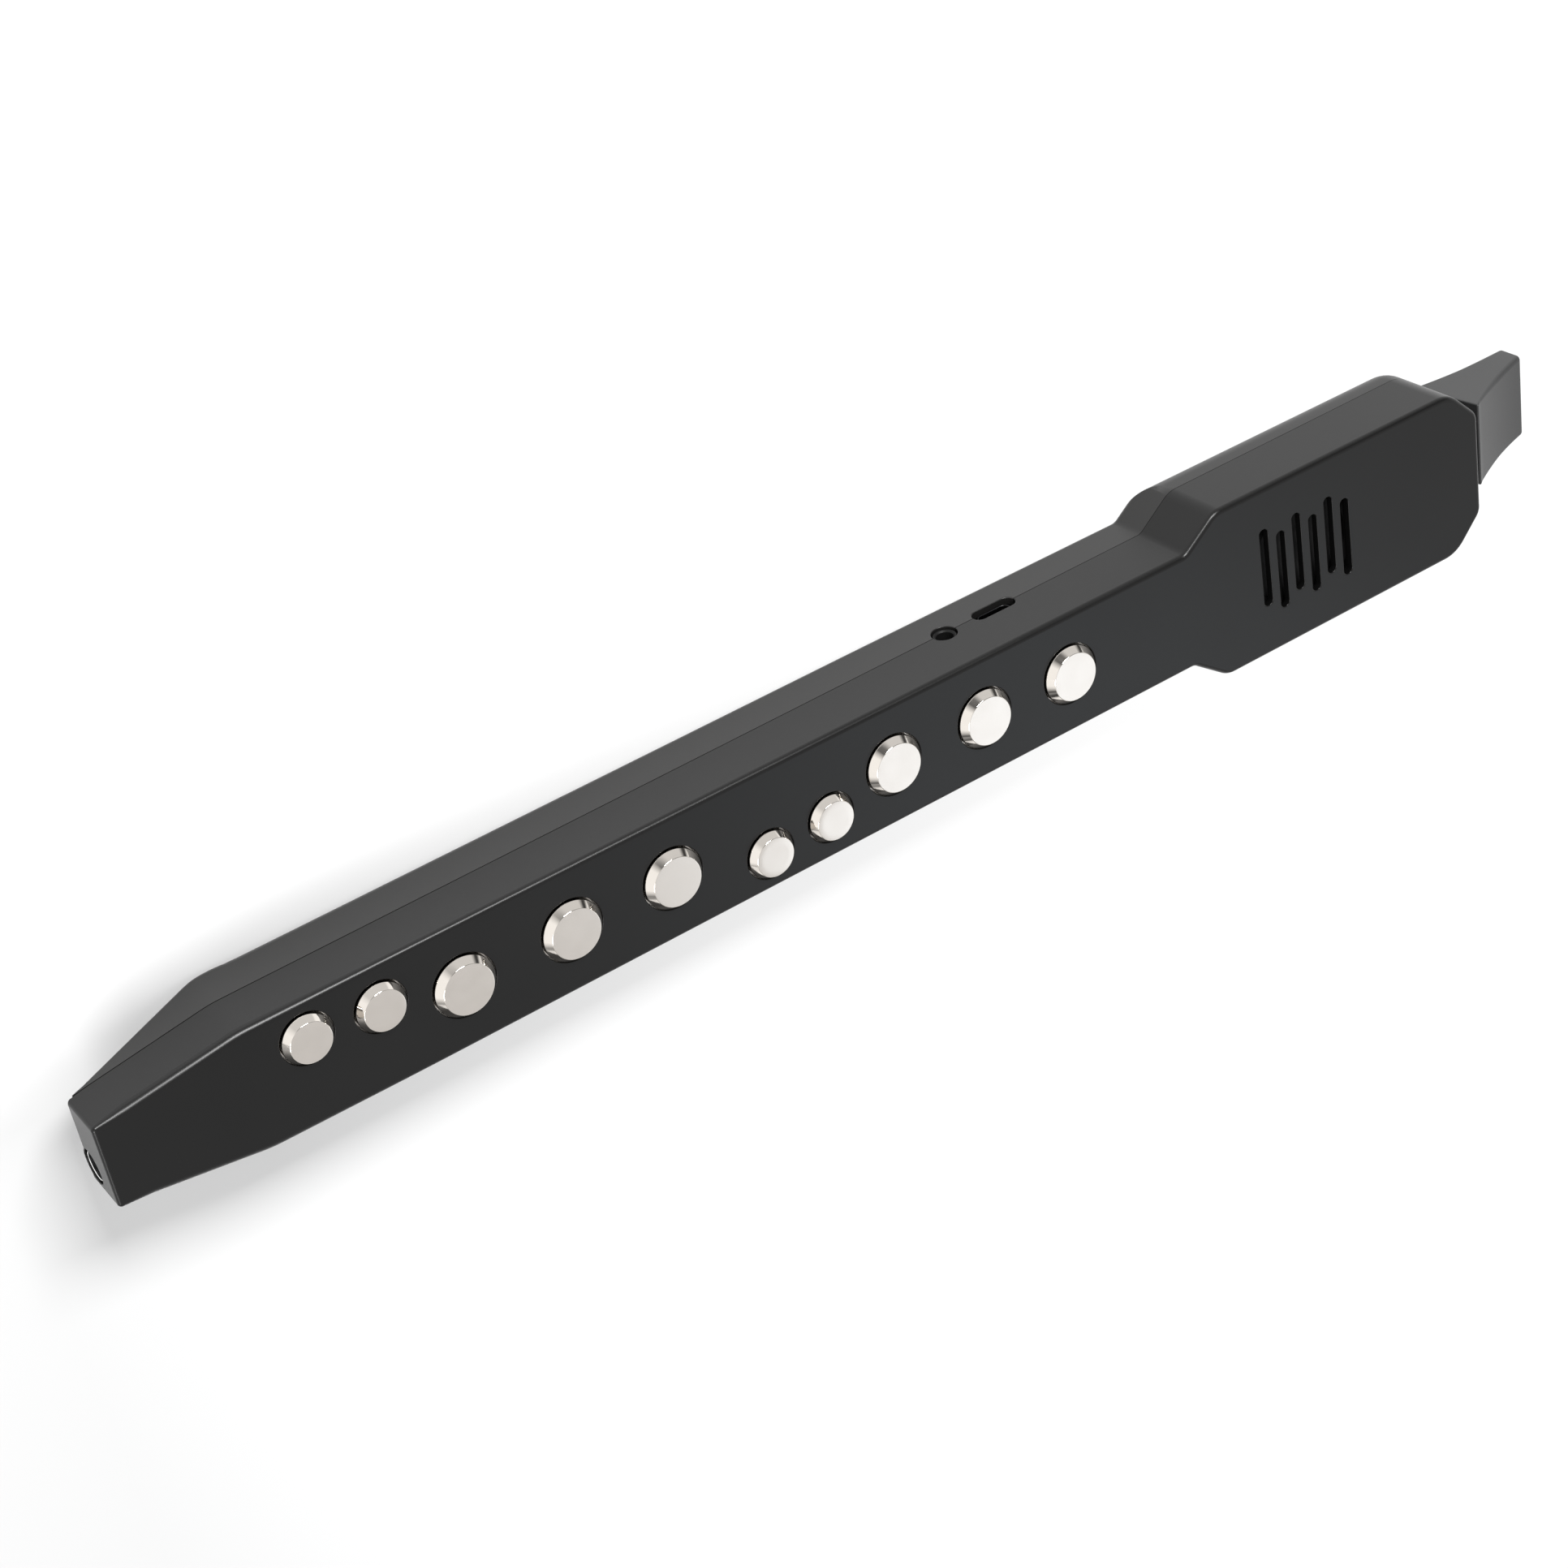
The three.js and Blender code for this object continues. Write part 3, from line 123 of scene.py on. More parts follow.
class Sheet:
    def __init__(self, tree):
        self.tree = tree

    def node(self, kind, settings, sockets, output=0):
        made = self.tree.nodes.new(kind)
        for key, value in settings.items():
            if key == "stops":
                self.setStops(made.color_ramp, value)
            else:
                setattr(made, key, value)
        self.feed(made, sockets)
        return Wire(self, made.outputs[output])

    def feed(self, node, sockets):
        for key, value in sockets.items():
            if isinstance(value, Wire):
                self.tree.links.new(value.socket, node.inputs[key])
            else:
                node.inputs[key].default_value = value

    def sum(self, operation, first, second):
        return self.node("ShaderNodeMath", {"operation": operation}, {0: first, 1: second})

    def setStops(self, ramp, stops):
        while len(ramp.elements) < len(stops):
            ramp.elements.new(0.5)
        for element, (place, colour) in zip(ramp.elements, stops):
            element.position = place
            element.color = colour

    def place(self):
        return self.node("ShaderNodeTexCoord", {}, {}, "Object")

    def split(self, vector):
        first = self.node("ShaderNodeSeparateXYZ", {}, {0: vector})
        return [Wire(self, output) for output in first.socket.node.outputs]

    def noise(self, scale, detail=2.0, stretch=(1, 1, 1)):
        mapped = self.node("ShaderNodeMapping", {}, {"Vector": self.place(), "Scale": stretch})
        sockets = {"Vector": mapped, "Scale": scale, "Detail": detail}
        return self.node("ShaderNodeTexNoise", {}, sockets)

    def cells(self, scale, distance="EUCLIDEAN"):
        sockets = {"Vector": self.place(), "Scale": scale}
        return self.node("ShaderNodeTexVoronoi", {"distance": distance}, sockets)

    def blendColour(self, factor, first, second):
        settings = {"data_type": "RGBA"}
        return self.node("ShaderNodeMix", settings, {0: factor, 6: first, 7: second}, 2)

    def ramp(self, factor, *stops):
        shades = [(place, (value, value, value, 1.0)) for place, value in stops]
        return self.node("ShaderNodeValToRGB", {"stops": shades}, {0: factor})

    def bump(self, height, distance, strength):
        sockets = {"Height": height, "Distance": distance, "Strength": strength}
        return self.node("ShaderNodeBump", {}, sockets)


def colour(red, green, blue):
    return (red, green, blue, 1.0)


def shade(value, warmth=0.0):
    return colour(value * (1 + warmth), value, value * (1 - warmth))


def newMaterial(name):
    material = bpy.data.materials.new(name)
    material.use_nodes = True
    return material, Sheet(material.node_tree), material.node_tree.nodes["Principled BSDF"]


# Moulded plastic: fine spark-eroded grain, with slow drifts in tone and gloss
moulding = {"driftScale": 38, "lightest": 1.18, "darkest": 0.86, "bump": 0.6}
plastics = {
    "shellPlastic": dict(tone=0.003, rough=0.30, gloss=0.34, warmth=0.03),
    # Near-black slot walls and gasket: painted shade inside the slots
    "slotWall": dict(tone=0.0015, rough=0.8, gloss=0.06, grain=2600),
    # The back shell's plastic is lighter than the front shell's; the extra lightness is painted
    # light for a brighter floor reflection
    "backPlastic": dict(tone=0.009, rough=0.34, gloss=0.48, warmth=0.03),
    "mouthPlastic": dict(tone=0.030, rough=0.40, gloss=0.5, grain=2600, warmth=-0.01),
    "neckPlastic": dict(tone=0.004, rough=0.5, gloss=0.3, grain=3000, drift=0.04),
    "switchPlastic": dict(tone=0.011, rough=0.5, gloss=0.4, grain=3500, depth=5e-6, drift=0.04),
    "buttonPlastic": dict(tone=0.014, rough=0.46, gloss=0.4, grain=3500),
    "socketPlastic": dict(tone=0.006, rough=0.5, gloss=0.2, grain=3500, depth=4e-6),
    "sealRubber": dict(tone=0.008, rough=0.75, gloss=0.4, grain=5200, depth=12e-6, drift=0.05),
}


def plastic(name, tone, rough, gloss, grain=3200, depth=6e-6, warmth=0.0, drift=0.03):
    material, sheet, shader = newMaterial(name)
    fine, slow = sheet.noise(grain, 3.0), sheet.noise(moulding["driftScale"], 2.0)
    dark, light = [shade(tone * moulding[key], warmth) for key in ("darkest", "lightest")]
    sheet.feed(shader, {
        "Base Color": sheet.blendColour(slow, dark, light),
        "Roughness": rough + (slow - 0.5) * drift * 2 + (fine - 0.5) * drift,
        "Normal": sheet.bump(fine, depth, moulding["bump"]),
        "Specular IOR Level": gloss,
    })
    return material


# Metals: a base tone, with brushing or blasting in the roughness and the bump
plating = {"driftScale": 240, "darkest": 0.93, "bump": 0.5}
metals = {
    "keySatin": dict(tone=(0.79, 0.735, 0.68), rough=0.24, grain=5200, drift=0.05),
    "keyPolish": dict(tone=(0.82, 0.77, 0.71), rough=0.07, grain=600, depth=1.2e-6, drift=0.03),
    "octaveSatin": dict(tone=(0.74, 0.69, 0.64), rough=0.26, grain=4200, drift=0.05),
    "sleeveSteel": dict(tone=(0.88, 0.88, 0.87), rough=0.26, grain=2600),
    # Near-black port shell: painted shade inside the charging port
    "portSteel": dict(tone=(0.03, 0.03, 0.032), rough=0.32, grain=2600),
    # Dark steel of the screws; on the outlet sleeve's bore it is painted shade
    "screwSteel": dict(tone=(0.16, 0.16, 0.165), rough=0.34, grain=3000, depth=4e-6, drift=0.07),
    "magnetPlate": dict(tone=(0.52, 0.52, 0.53), rough=0.32, grain=1800, depth=4e-6, drift=0.08),
    # Near-black speaker frame: painted shade behind the slots
    "basketSteel": dict(tone=(0.03, 0.03, 0.032), rough=0.5, grain=1800, depth=4e-6),
}


def metal(name, tone, rough, grain, depth=3e-6, drift=0.06):
    material, sheet, shader = newMaterial(name)
    fine, slow = sheet.noise(grain, 2.0), sheet.noise(plating["driftScale"], 2.0)
    dim = [part * plating["darkest"] for part in tone]
    sheet.feed(shader, {
        "Base Color": sheet.blendColour(slow, colour(*dim), colour(*tone)),
        "Roughness": rough + (slow - 0.5) * drift * 2,
        "Normal": sheet.bump(fine, depth, plating["bump"]),
        "Metallic": 1.0,
    })
    return material


# Inner finishes: one pattern blends two tones and drives roughness (base, gain) and bump
patterns = {
    "conePaper": dict(noise=(2600, 4.0), tones=(shade(0.004), shade(0.012)),
                      rough=(0.72, 0.15), bump=(3e-5, 0.8)),
    "cellFoam": dict(cells=(1400.0,), tones=(shade(0.012), shade(0.045)),
                     rough=(0.85, 0.1), bump=(1e-4, 0.9)),
    "cellWrap": dict(noise=(160, 3.0, (1, 4, 1)),
                     tones=(colour(0.20, 0.26, 0.33), colour(0.30, 0.37, 0.44)),
                     rough=(0.26, 0.2), bump=(1e-4, 0.5)),
    "leadSleeve": dict(noise=(1800, 2.0),
                       tones=(colour(0.28, 0.012, 0.010), colour(0.40, 0.02, 0.015)),
                       rough=(0.38, 0.1), bump=(1e-5, 0.5)),
    "tubeSilicone": dict(noise=(300, 2.0), tones=(shade(0.42, 0.01), shade(0.54, 0.01)),
                         rough=(0.36, 0.12), bump=(3e-5, 0.4)),
    "windowGlass": dict(noise=(70, 3.0),
                        tones=(colour(0.0022, 0.0024, 0.0032), colour(0.0035, 0.0038, 0.0048)),
                        rough=(0.05, 0.05), bump=(1e-5, 0.15)),
}


def patterned(name, tones, rough, bump, noise=None, cells=None):
    material, sheet, shader = newMaterial(name)
    pattern = sheet.noise(*noise) if noise else sheet.cells(*cells)
    sheet.feed(shader, {
        "Base Color": sheet.blendColour(pattern, *tones),
        "Roughness": rough[0] + pattern * rough[1],
        "Normal": sheet.bump(pattern, *bump),
    })
    return material


# Boards: copper tracks show as a paler green under the lacquer.
board = {"weave": (900, 1.0, (1, 3, 1)), "tracks": (420.0, "MANHATTAN"), "trackShare": 0.16,
         "tones": (colour(0.008, 0.050, 0.020), colour(0.012, 0.075, 0.030)),
         "trackTone": colour(0.02, 0.13, 0.05), "rough": (0.36, 0.12), "bump": (2e-5, 0.5)}


def boardLacquer():
    material, sheet, shader = newMaterial("boardLacquer")
    weave = sheet.noise(*board["weave"])
    copper = sheet.sum("LESS_THAN", sheet.cells(*board["tracks"]), board["trackShare"])
    ground = sheet.blendColour(weave, *board["tones"])
    sheet.feed(shader, {
        "Base Color": sheet.blendColour(copper, ground, board["trackTone"]),
        "Roughness": board["rough"][0] + weave * board["rough"][1],
        "Normal": sheet.bump(copper, *board["bump"]),
    })
    return material


finish = {name: plastic(name, **look) for name, look in plastics.items()}
finish.update({name: metal(name, **look) for name, look in metals.items()})
finish.update({name: patterned(name, **look) for name, look in patterns.items()})
finish["boardLacquer"] = boardLacquer()
print("finishes:", len(finish))


# Mesh helpers. A form is a pair of lists, points in millimetres and faces.
def capFaces(start, count, upwards):
    # Strips straight across, from one half of the ring to the other
    faces = []
    for k in range(count // 2 - 1):
        strip = (start + k, start + k + 1, start + count - 2 - k, start + count - 1 - k)
        faces.append(strip if upwards else strip[::-1])
    return faces


def loft(rings, caps="strips"):
    points = [tuple(point) for ring in rings for point in ring]
    count, last = len(rings[0]), len(points) - len(rings[0])
    faces = []
    for low in range(0, last, count):
        for i in range(count):
            k = (i + 1) % count
            faces.append((low + i, low + k, low + count + k, low + count + i))
    if caps == "strips":
        faces += capFaces(0, count, False) + capFaces(last, count, True)
    else:
        faces += [tuple(range(count))[::-1], tuple(range(last, last + count))]
    return points, faces


def turned(profile, sides, wrap=False):
    # Radius and height pairs, listed upwards; a pair on the axis becomes one point.
    points, rings, faces = [], [], []
    for radius, height in profile:
        count = 1 if radius < 1e-6 else sides
        rings.append([len(points) + i % count for i in range(sides)])
        for i in range(count):
            angle = 2 * math.pi * (i + 0.5) / sides
            points.append((radius * math.cos(angle), radius * math.sin(angle), height))
    for low, high in zip(rings, rings[1:] + (rings[:1] if wrap else [])):
        for i in range(sides):
            k = (i + 1) % sides
            faces.append(tuple(dict.fromkeys((low[i], low[k], high[k], high[i]))))
    return points, faces


def joined(*forms):
    points, faces = [], []
    for somePoints, someFaces in forms:
        faces += [tuple(index + len(points) for index in face) for face in someFaces]
        points += list(somePoints)
    return points, faces


def moved(form, matrix):
    return [tuple(matrix @ Vector(point)) for point in form[0]], form[1]


def shifted(form, x, y, z=0):
    return moved(form, Matrix.Translation((x, y, z)))


def facingSide(form, x, y, z):
    # The form's axis turns from Z to Y.
    turn = Matrix.Rotation(math.radians(-90), 4, "X")
    return moved(form, Matrix.Translation((x, y, z)) @ turn)


def facingEnd(form, x, y, z):
    # The form's axis turns from Z to X.
    turn = Matrix.Rotation(math.radians(90), 4, "Y")
    return moved(form, Matrix.Translation((x, y, z)) @ turn)


def quarter(steps):
    # Sines and cosines over a quarter turn
    angles = [math.pi / 2 * k / steps for k in range(steps + 1)]
    return [(math.sin(angle), math.cos(angle)) for angle in angles]


def fillet(radius, height, edge, steps):
    # A rounded rim's pairs, from the side up onto the top
    return [(radius - edge + edge * c, height - edge + edge * s) for s, c in quarter(steps)]


def flare(radius, height, rim, steps=4):
    # The rim of a hole that opens upwards
    return [(radius + rim - rim * c, height - rim + rim * s) for s, c in quarter(steps)]


def flareBelow(radius, rim, steps=4):
    # The rim of a hole that opens downwards, at height 0
    return [(radius + rim - rim * s, rim - rim * c) for s, c in quarter(steps)]


def plug(radius, low, high):
    return [(0, low), (radius, low), (radius, high), (0, high)]


def block(x0, x1, y0, y1, z0, z1):
    return loft([[(x0, y0, z), (x1, y0, z), (x1, y1, z), (x0, y1, z)] for z in (z0, z1)])


def addObject(name, data, place=(0, 0, 0), turn=(0, 0, 0)):
    made = bpy.data.objects.new(name, data)
    made.location, made.rotation_euler = place, turn
    bpy.context.scene.collection.objects.link(made)
    return made


def newObject(name, form, *materials):
    mesh = bpy.data.meshes.new(name)
    mesh.from_pydata([toFrame(point) for point in form[0]], [], form[1])
    for material in materials:
        mesh.materials.append(material)
    return addObject(name, mesh)


def bake(thing):
    bpy.context.view_layer.update()
    graph = bpy.context.evaluated_depsgraph_get()
    mesh = bpy.data.meshes.new_from_object(thing.evaluated_get(graph), depsgraph=graph)
    thing.modifiers.clear()
    thing.data = mesh
    mesh.name = thing.name


def discard(thing):
    bpy.data.objects.remove(thing, do_unlink=True)


def carve(thing, form, operation="DIFFERENCE"):
    tool = form if isinstance(form, bpy.types.Object) else newObject("tool", form)
    change = thing.modifiers.new("carve", "BOOLEAN")
    change.operation = operation
    change.solver = "EXACT"
    change.object = tool
    materials = list(thing.data.materials)
    bake(thing)
    discard(tool)
    thing.data.materials.clear()
    for material in materials:
        thing.data.materials.append(material)


def finishPiece(thing, body, nodes, angle=32):
    mesh = thing.data
    mesh.shade_smooth()
    mesh.set_sharp_from_angle(angle=math.radians(angle))
    evening = thing.modifiers.new("evening", "WEIGHTED_NORMAL")
    evening.keep_sharp = True
    evening.weight = 60
    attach(thing, body)
    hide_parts(*nodes)
    return thing


# Rounded outlines: corners are x, y and a radius, listed anticlockwise.
def cornerTurn(corners, i):
    near = [Vector(corners[k % len(corners)][:2]) for k in (i - 1, i, i + 1)]
    before, here, after = near
    inward, outward = (here - before).normalized(), (after - here).normalized()
    bend = inward.x * outward.y - inward.y * outward.x
    return here, inward, outward, math.atan2(bend, inward.dot(outward))


def leftOf(direction):
    return Vector((-direction.y, direction.x))


def insetCorners(corners, distance, least=0.05):
    result = []
    for i, corner in enumerate(corners):
        here, inward, outward, turn = cornerTurn(corners, i)
        way = (leftOf(inward) + leftOf(outward)).normalized()
        reach = way * distance / math.cos(turn / 2)
        radius = max(corner[2] - math.copysign(distance, turn), least)
        result.append((here.x + reach.x, here.y + reach.y, radius))
    return result


def roundedRing(corners, steps, shares=None):
    # The shares are further points on the straight runs between the corners.
    arcs = []
    for i, corner in enumerate(corners):
        here, inward, outward, turn = cornerTurn(corners, i)
        start = here - inward * corner[2] * math.tan(abs(turn) / 2)
        centre = start + leftOf(inward) * math.copysign(corner[2], turn)
        arm = start - centre
        turns = [Matrix.Rotation(turn * k / steps, 2) for k in range(steps + 1)]
        arcs.append([centre + matrix @ arm for matrix in turns])
    ring = []
    for i, arc in enumerate(arcs):
        ring += arc
        onward = arcs[(i + 1) % len(arcs)][0]
        ring += [arc[-1].lerp(onward, share) for share in (shares[i] if shares else [])]
    return ring


def level(corners, height, inset=0.0, steps=10):
    outline = insetCorners(corners, inset) if inset else corners
    return [(point.x, point.y, height) for point in roundedRing(outline, steps)]


def rectangle(x, y, length, width, radius):
    a, b = length / 2, width / 2
    return [(x - a, y - b, radius), (x + a, y - b, radius),
            (x + a, y + b, radius), (x - a, y + b, radius)]


def stadium(length, width):
    return rectangle(0, 0, length, width, min(length, width) / 2 - 0.01)


def slab(corners, bottom, top, edge, steps=6, edgeSteps=4):
    # An outline with rounded rims
    turns = quarter(edgeSteps)
    rings = [level(corners, bottom + edge * (1 - c), edge * (1 - s), steps) for s, c in turns[:-1]]
    rings.append(level(corners, bottom + edge, 0, steps))
    rings += [level(corners, top - edge + edge * s, edge * (1 - c), steps) for s, c in turns]
    return loft(rings)


def pad(length, width, corner, *rest):
    return slab(rectangle(0, 0, length, width, corner), *rest)


def evenly(count):
    return [(k + 1) / (count + 1) for k in range(count)]


# The casing: sizes of both shells
casing = {
    "length": (shellHigh.x - shellLow.x) / mm,
    "headWidth": (shellHigh.y - shellLow.y) / mm,
    "front": shellHigh.z / mm,
    "wall": 1.8,
    # Outline
    "tailWidth": 19.8, "tailCorner": 1.0,
    "taperLength": 32.8, "taperBlend": 30,
    "bodyWidth": 29.6,
    "headLength": 82.9, "shoulderLength": 9.6, "shoulderBlends": (3, 6),
    "cornerCut": 8.5, "headCorner": 9.0, "endCorner": 4.0,
    # Slant of the back at the tail
    "tailBack": 13.4, "slantLength": 37.0, "slantBlend": 20.0,
    "tipCut": (-1, 1.5, -20, 20, 5, 20),
    # Roundings; the front edge softens along the taper, and the back edges are x and size pairs
    "frontEdge": 1.3, "taperFrontEdge": 2.0, "tailFrontEdge": 0.8,
    "edgeGrowth": 0.16, "edgeFade": 0.02,
    "tailEdge": 0.35, "tailEdgeReach": 3,
    "backEdges": ((0, 0.4), (33, 1.4), (42, 3.1), (200, 1.7)),
    "headBackEdge": 6.9, "headBackNose": 9,
    # Seam between the shells, its gap from tail to head, and the gaps round moving parts
    "seamTail": 13.1, "seamHead": 9.1, "seamGaps": (0.26, 0.10),
    "holeRim": 0.22, "keyGap": 0.35, "fit": 0.3,
}
frontInner = casing["front"] - casing["wall"]
sink = 0.9  # posts and ribs start this deep in the wall


def casingCorners():
    size = casing
    half, headHalf = size["bodyWidth"] / 2, size["headWidth"] / 2
    shoulderEnd = size["length"] - size["headLength"]
    inner, outer = size["shoulderBlends"]
    side = [
        (0, size["tailWidth"] / 2, size["tailCorner"]),
        (size["taperLength"], half, size["taperBlend"]),
        (shoulderEnd - size["shoulderLength"], half, inner),
        (shoulderEnd, headHalf, outer),
        (size["length"] - size["cornerCut"], headHalf, size["headCorner"]),
        (size["length"], headHalf - size["cornerCut"], size["endCorner"]),
    ]
    return [(x, -y, radius) for x, y, radius in side] + side[::-1]


def casingShares():
    # Closer points where the slant of the back ends
    bend = [0.002 + 0.002 * k for k in range(13)]
    run = [0.04 + 0.04 * k for k in range(24)]
    sides = [evenly(8), bend + run, evenly(5), evenly(14), evenly(7)]
    mirrored = [[1 - share for share in side[::-1]] for side in sides[::-1]]
    return [*sides, [], *mirrored, []]


def casingOutline(inset, least=0.05, steps=8):
    corners = insetCorners(casingCorners(), inset, least) if inset else casingCorners()
    return roundedRing(corners, steps, casingShares())


casingBase = casingOutline(0)
casingInward = [there - here for here, there in zip(casingBase, casingOutline(1.0))]
casingHollow = casingOutline(casing["wall"], 0.4)


def backLine(x):
    # Height of the back: a slant at the tail that blends into the flat
    size = casing
    slope = math.atan2(size["tailBack"], size["slantLength"])
    reach = size["slantBlend"] * math.tan(slope / 2)
    if x <= size["slantLength"] - reach * math.cos(slope):
        return size["tailBack"] * (1 - x / size["slantLength"])
    along, blend = size["slantLength"] + reach - x, size["slantBlend"]
    return blend - math.sqrt(blend ** 2 - along ** 2) if along > 0 else 0.0


def seamLine(x):
    return casing["seamTail"] + (casing["seamHead"] - casing["seamTail"]) * x / casing["length"]


def halfGap(x):
    wide, narrow = casing["seamGaps"]
    return (wide + (narrow - wide) * x / casing["length"]) / 2


def casingRing(depth, height):
    ring = []
    for base, inward in zip(casingBase, casingInward):
        place = base + inward * depth(base.x)
        ring.append((place.x, place.y, height(place.x)))
    return ring


def hollowRing(height):
    return [(point.x, point.y, height(point.x)) for point in casingHollow]


def frontForm():
    size = casing

    def edge(x):
        taper = size["taperFrontEdge"] - size["edgeFade"] * max(x - size["taperLength"], 0)
        return min(max(size["frontEdge"], taper), size["tailFrontEdge"] + size["edgeGrowth"] * x)

    def low(x):
        # Near the tail the slanted back runs past the seam, onto the front shell.
        return max(seamLine(x) + halfGap(x), backLine(x))

    def bevel(x):
        return max(size["tailEdge"] * (1 - x / size["tailEdgeReach"]), 0.01)

    rings = [casingRing(bevel, low), casingRing(lambda x: 0, lambda x: low(x) + bevel(x))]
    for s, c in quarter(8):
        depth, height = lambda x: edge(x) * (1 - c), lambda x: size["front"] - edge(x) * (1 - s)
        rings.append(casingRing(depth, height))
    return loft(rings)


def frontHollow():
    return loft([hollowRing(lambda x: seamLine(x) - 1), hollowRing(lambda x: frontInner)])


def backTop(x):
    return max(seamLine(x) - halfGap(x), backLine(x) + 0.05)


def backEdgeAt(x):
    edges = casing["backEdges"]
    edge = edges[-1][1]
    for (start, first), (end, last) in zip(edges, edges[1:]):
        if start <= x < end:
            edge = first + (last - first) * (x - start) / (end - start)
    room = backTop(x) - backLine(x)
    return max(min(edge, room * 0.6), 0.01)


def backForm():
    rings = []
    for s, c in reversed(quarter(8)):
        depth = lambda x: backEdgeAt(x) * (1 - c)
        rings.append(casingRing(depth, lambda x: backLine(x) + backEdgeAt(x) * (1 - s)))
    rings.append(casingRing(lambda x: 0, backTop))
    return loft(rings)


def backHollow():
    low = hollowRing(lambda x: backLine(x) + casing["wall"])
    return loft([low, hollowRing(lambda x: seamLine(x) + 3)])


def headEnvelope(inset):
    # Broad rounding of the back along the head's sides and cut corners, open past the end face
    half, cut, beyond = casing["headWidth"] / 2, casing["length"] - casing["cornerCut"], -40
    corners = [(beyond, -half, 10), (cut, -half, casing["headCorner"]),
               (cut + half, 0, casing["headBackNose"]),
               (cut, half, casing["headCorner"]), (beyond, half, 10)]
    edge = casing["headBackEdge"] - inset
    return slab(insetCorners(corners, inset), inset, casing["front"] + 2 * edge, edge, 11, 14)


# Finger keys: seven sizes that they share; each cap's place and flange come from its node
keyShape = {"large": 7.05, "small": 5.65, "topShare": 0.82, "rise": 2.0, "rimRise": 0.3,
            "topEdge": 0.10, "rimEdge": 0.12, "flange": 1.2, "stem": 1.5}
keyCount = sum(name.startswith("key_cap_") for name in frame["nodes"])
keys = []
for number in range(1, keyCount + 1):
    node = f"key_cap_{number}"
    x, y, _ = middle(node)
    low, high = span(node, 0)
    keys.append({"node": node, "x": x, "y": y, "flange": (high - low) / 2})
widest = max(key["flange"] for key in keys)
for key in keys:
    key["radius"] = keyShape["large" if key["flange"] > widest - 0.5 else "small"]


def keyHole(key):
    radius, front, rim = key["radius"] + casing["keyGap"], casing["front"], casing["holeRim"]
    low = frontInner - 1
    profile = [(0, low), (radius, low)] + flare(radius, front, rim)
    profile += [(radius + rim, front + 1), (0, front + 1)]
    return shifted(turned(profile, 72), key["x"], key["y"])


def holeRings(outline, low, surface, above):
    rim = casing["holeRim"]
    rings = [level(outline, low)]
    rings += [level(outline, height, -radius) for radius, height in flare(0, surface, rim)]
    return rings + [level(outline, surface + above, -rim)]


class GeometryTree(Sheet):
    def __init__(self, name, inputs):
        super().__init__(bpy.data.node_groups.new(name, "GeometryNodeTree"))
        self.tree.is_modifier = True
        for way in ("INPUT", "OUTPUT"):
            self.addSocket("Geometry", way, "NodeSocketGeometry")
        self.keys = {}
        for label, (kind, value) in inputs.items():
            made = self.addSocket(label, "INPUT", kind)
            if value is not None:
                made.default_value = value
            self.keys[label] = made.identifier
        self.entry = self.tree.nodes.new("NodeGroupInput")
        self.exit = self.tree.nodes.new("NodeGroupOutput")

    def addSocket(self, label, way, kind):
        return self.tree.interface.new_socket(label, in_out=way, socket_type=kind)

    def given(self, label):
        return Wire(self, self.entry.outputs[label])

    def copies(self, points, label, **more):
        given = {"Object": self.given(label)}
        shape = self.node("GeometryNodeObjectInfo", {}, given, "Geometry")
        sockets = {"Points": points, "Instance": shape, **more}
        return self.node("GeometryNodeInstanceOnPoints", {}, sockets)

    def paint(self, geometry, label, **more):
        sockets = {"Geometry": geometry, "Material": self.given(label), **more}
        painted = self.node("GeometryNodeSetMaterial", {}, sockets)
        self.feed(self.exit, {0: painted})
        return painted

    def end(self, copies, label):
        real = self.node("GeometryNodeRealizeInstances", {}, {"Geometry": copies})
        return self.paint(real, label)

    def use(self, thing, values):
        modifier = thing.modifiers.new(self.tree.name, "NODES")
        modifier.node_group = self.tree
        for label, value in values.items():
            modifier[self.keys[label]] = value
        bake(thing)


# Loudspeaker slots, laid out by a node tree
slots = {"count": 6, "pitch": 5.02, "stagger": 1.27, "width": 2.6, "length": 20.2,
         "firstToHeadEnd": 69.2, "fieldLength": 32, "fieldWidth": 24}


def slotTree():
    tree = GeometryTree("slotRow", {
        "Slot": ("NodeSocketObject", None),
        "Count": ("NodeSocketInt", slots["count"]),
        "Pitch": ("NodeSocketFloat", slots["pitch"] * mm),
        "Stagger": ("NodeSocketFloat", slots["stagger"] * mm),
        "Finish": ("NodeSocketMaterial", None),
    })
    step = tree.node("ShaderNodeCombineXYZ", {}, {0: tree.given("Pitch")})
    sockets = {"Count": tree.given("Count"), "Offset": step}
    line = tree.node("GeometryNodeMeshLine", {"mode": "OFFSET"}, sockets)
    odd = tree.sum("MODULO", tree.node("GeometryNodeInputIndex", {}, {}), 2.0)
    across = (1.0 - odd * 2.0) * tree.given("Stagger")
    offset = tree.node("ShaderNodeCombineXYZ", {}, {1: across})
    spread = tree.node("GeometryNodeSetPosition", {}, {"Geometry": line, "Offset": offset})
    tree.end(tree.copies(spread, "Slot"), "Finish")
    return tree


def slotCutter():
    outline = stadium(slots["width"], slots["length"])
    form = loft(holeRings(outline, frontInner - 1, casing["front"], 1), caps="whole")
    slot = newObject("slotForm", shifted(form, casing["length"] - slots["firstToHeadEnd"], 0))
    row = newObject("slotRow", ([(0, 0, 0)], []))
    slotTree().use(row, {"Slot": slot, "Finish": finish["shellPlastic"]})
    discard(slot)
    return row


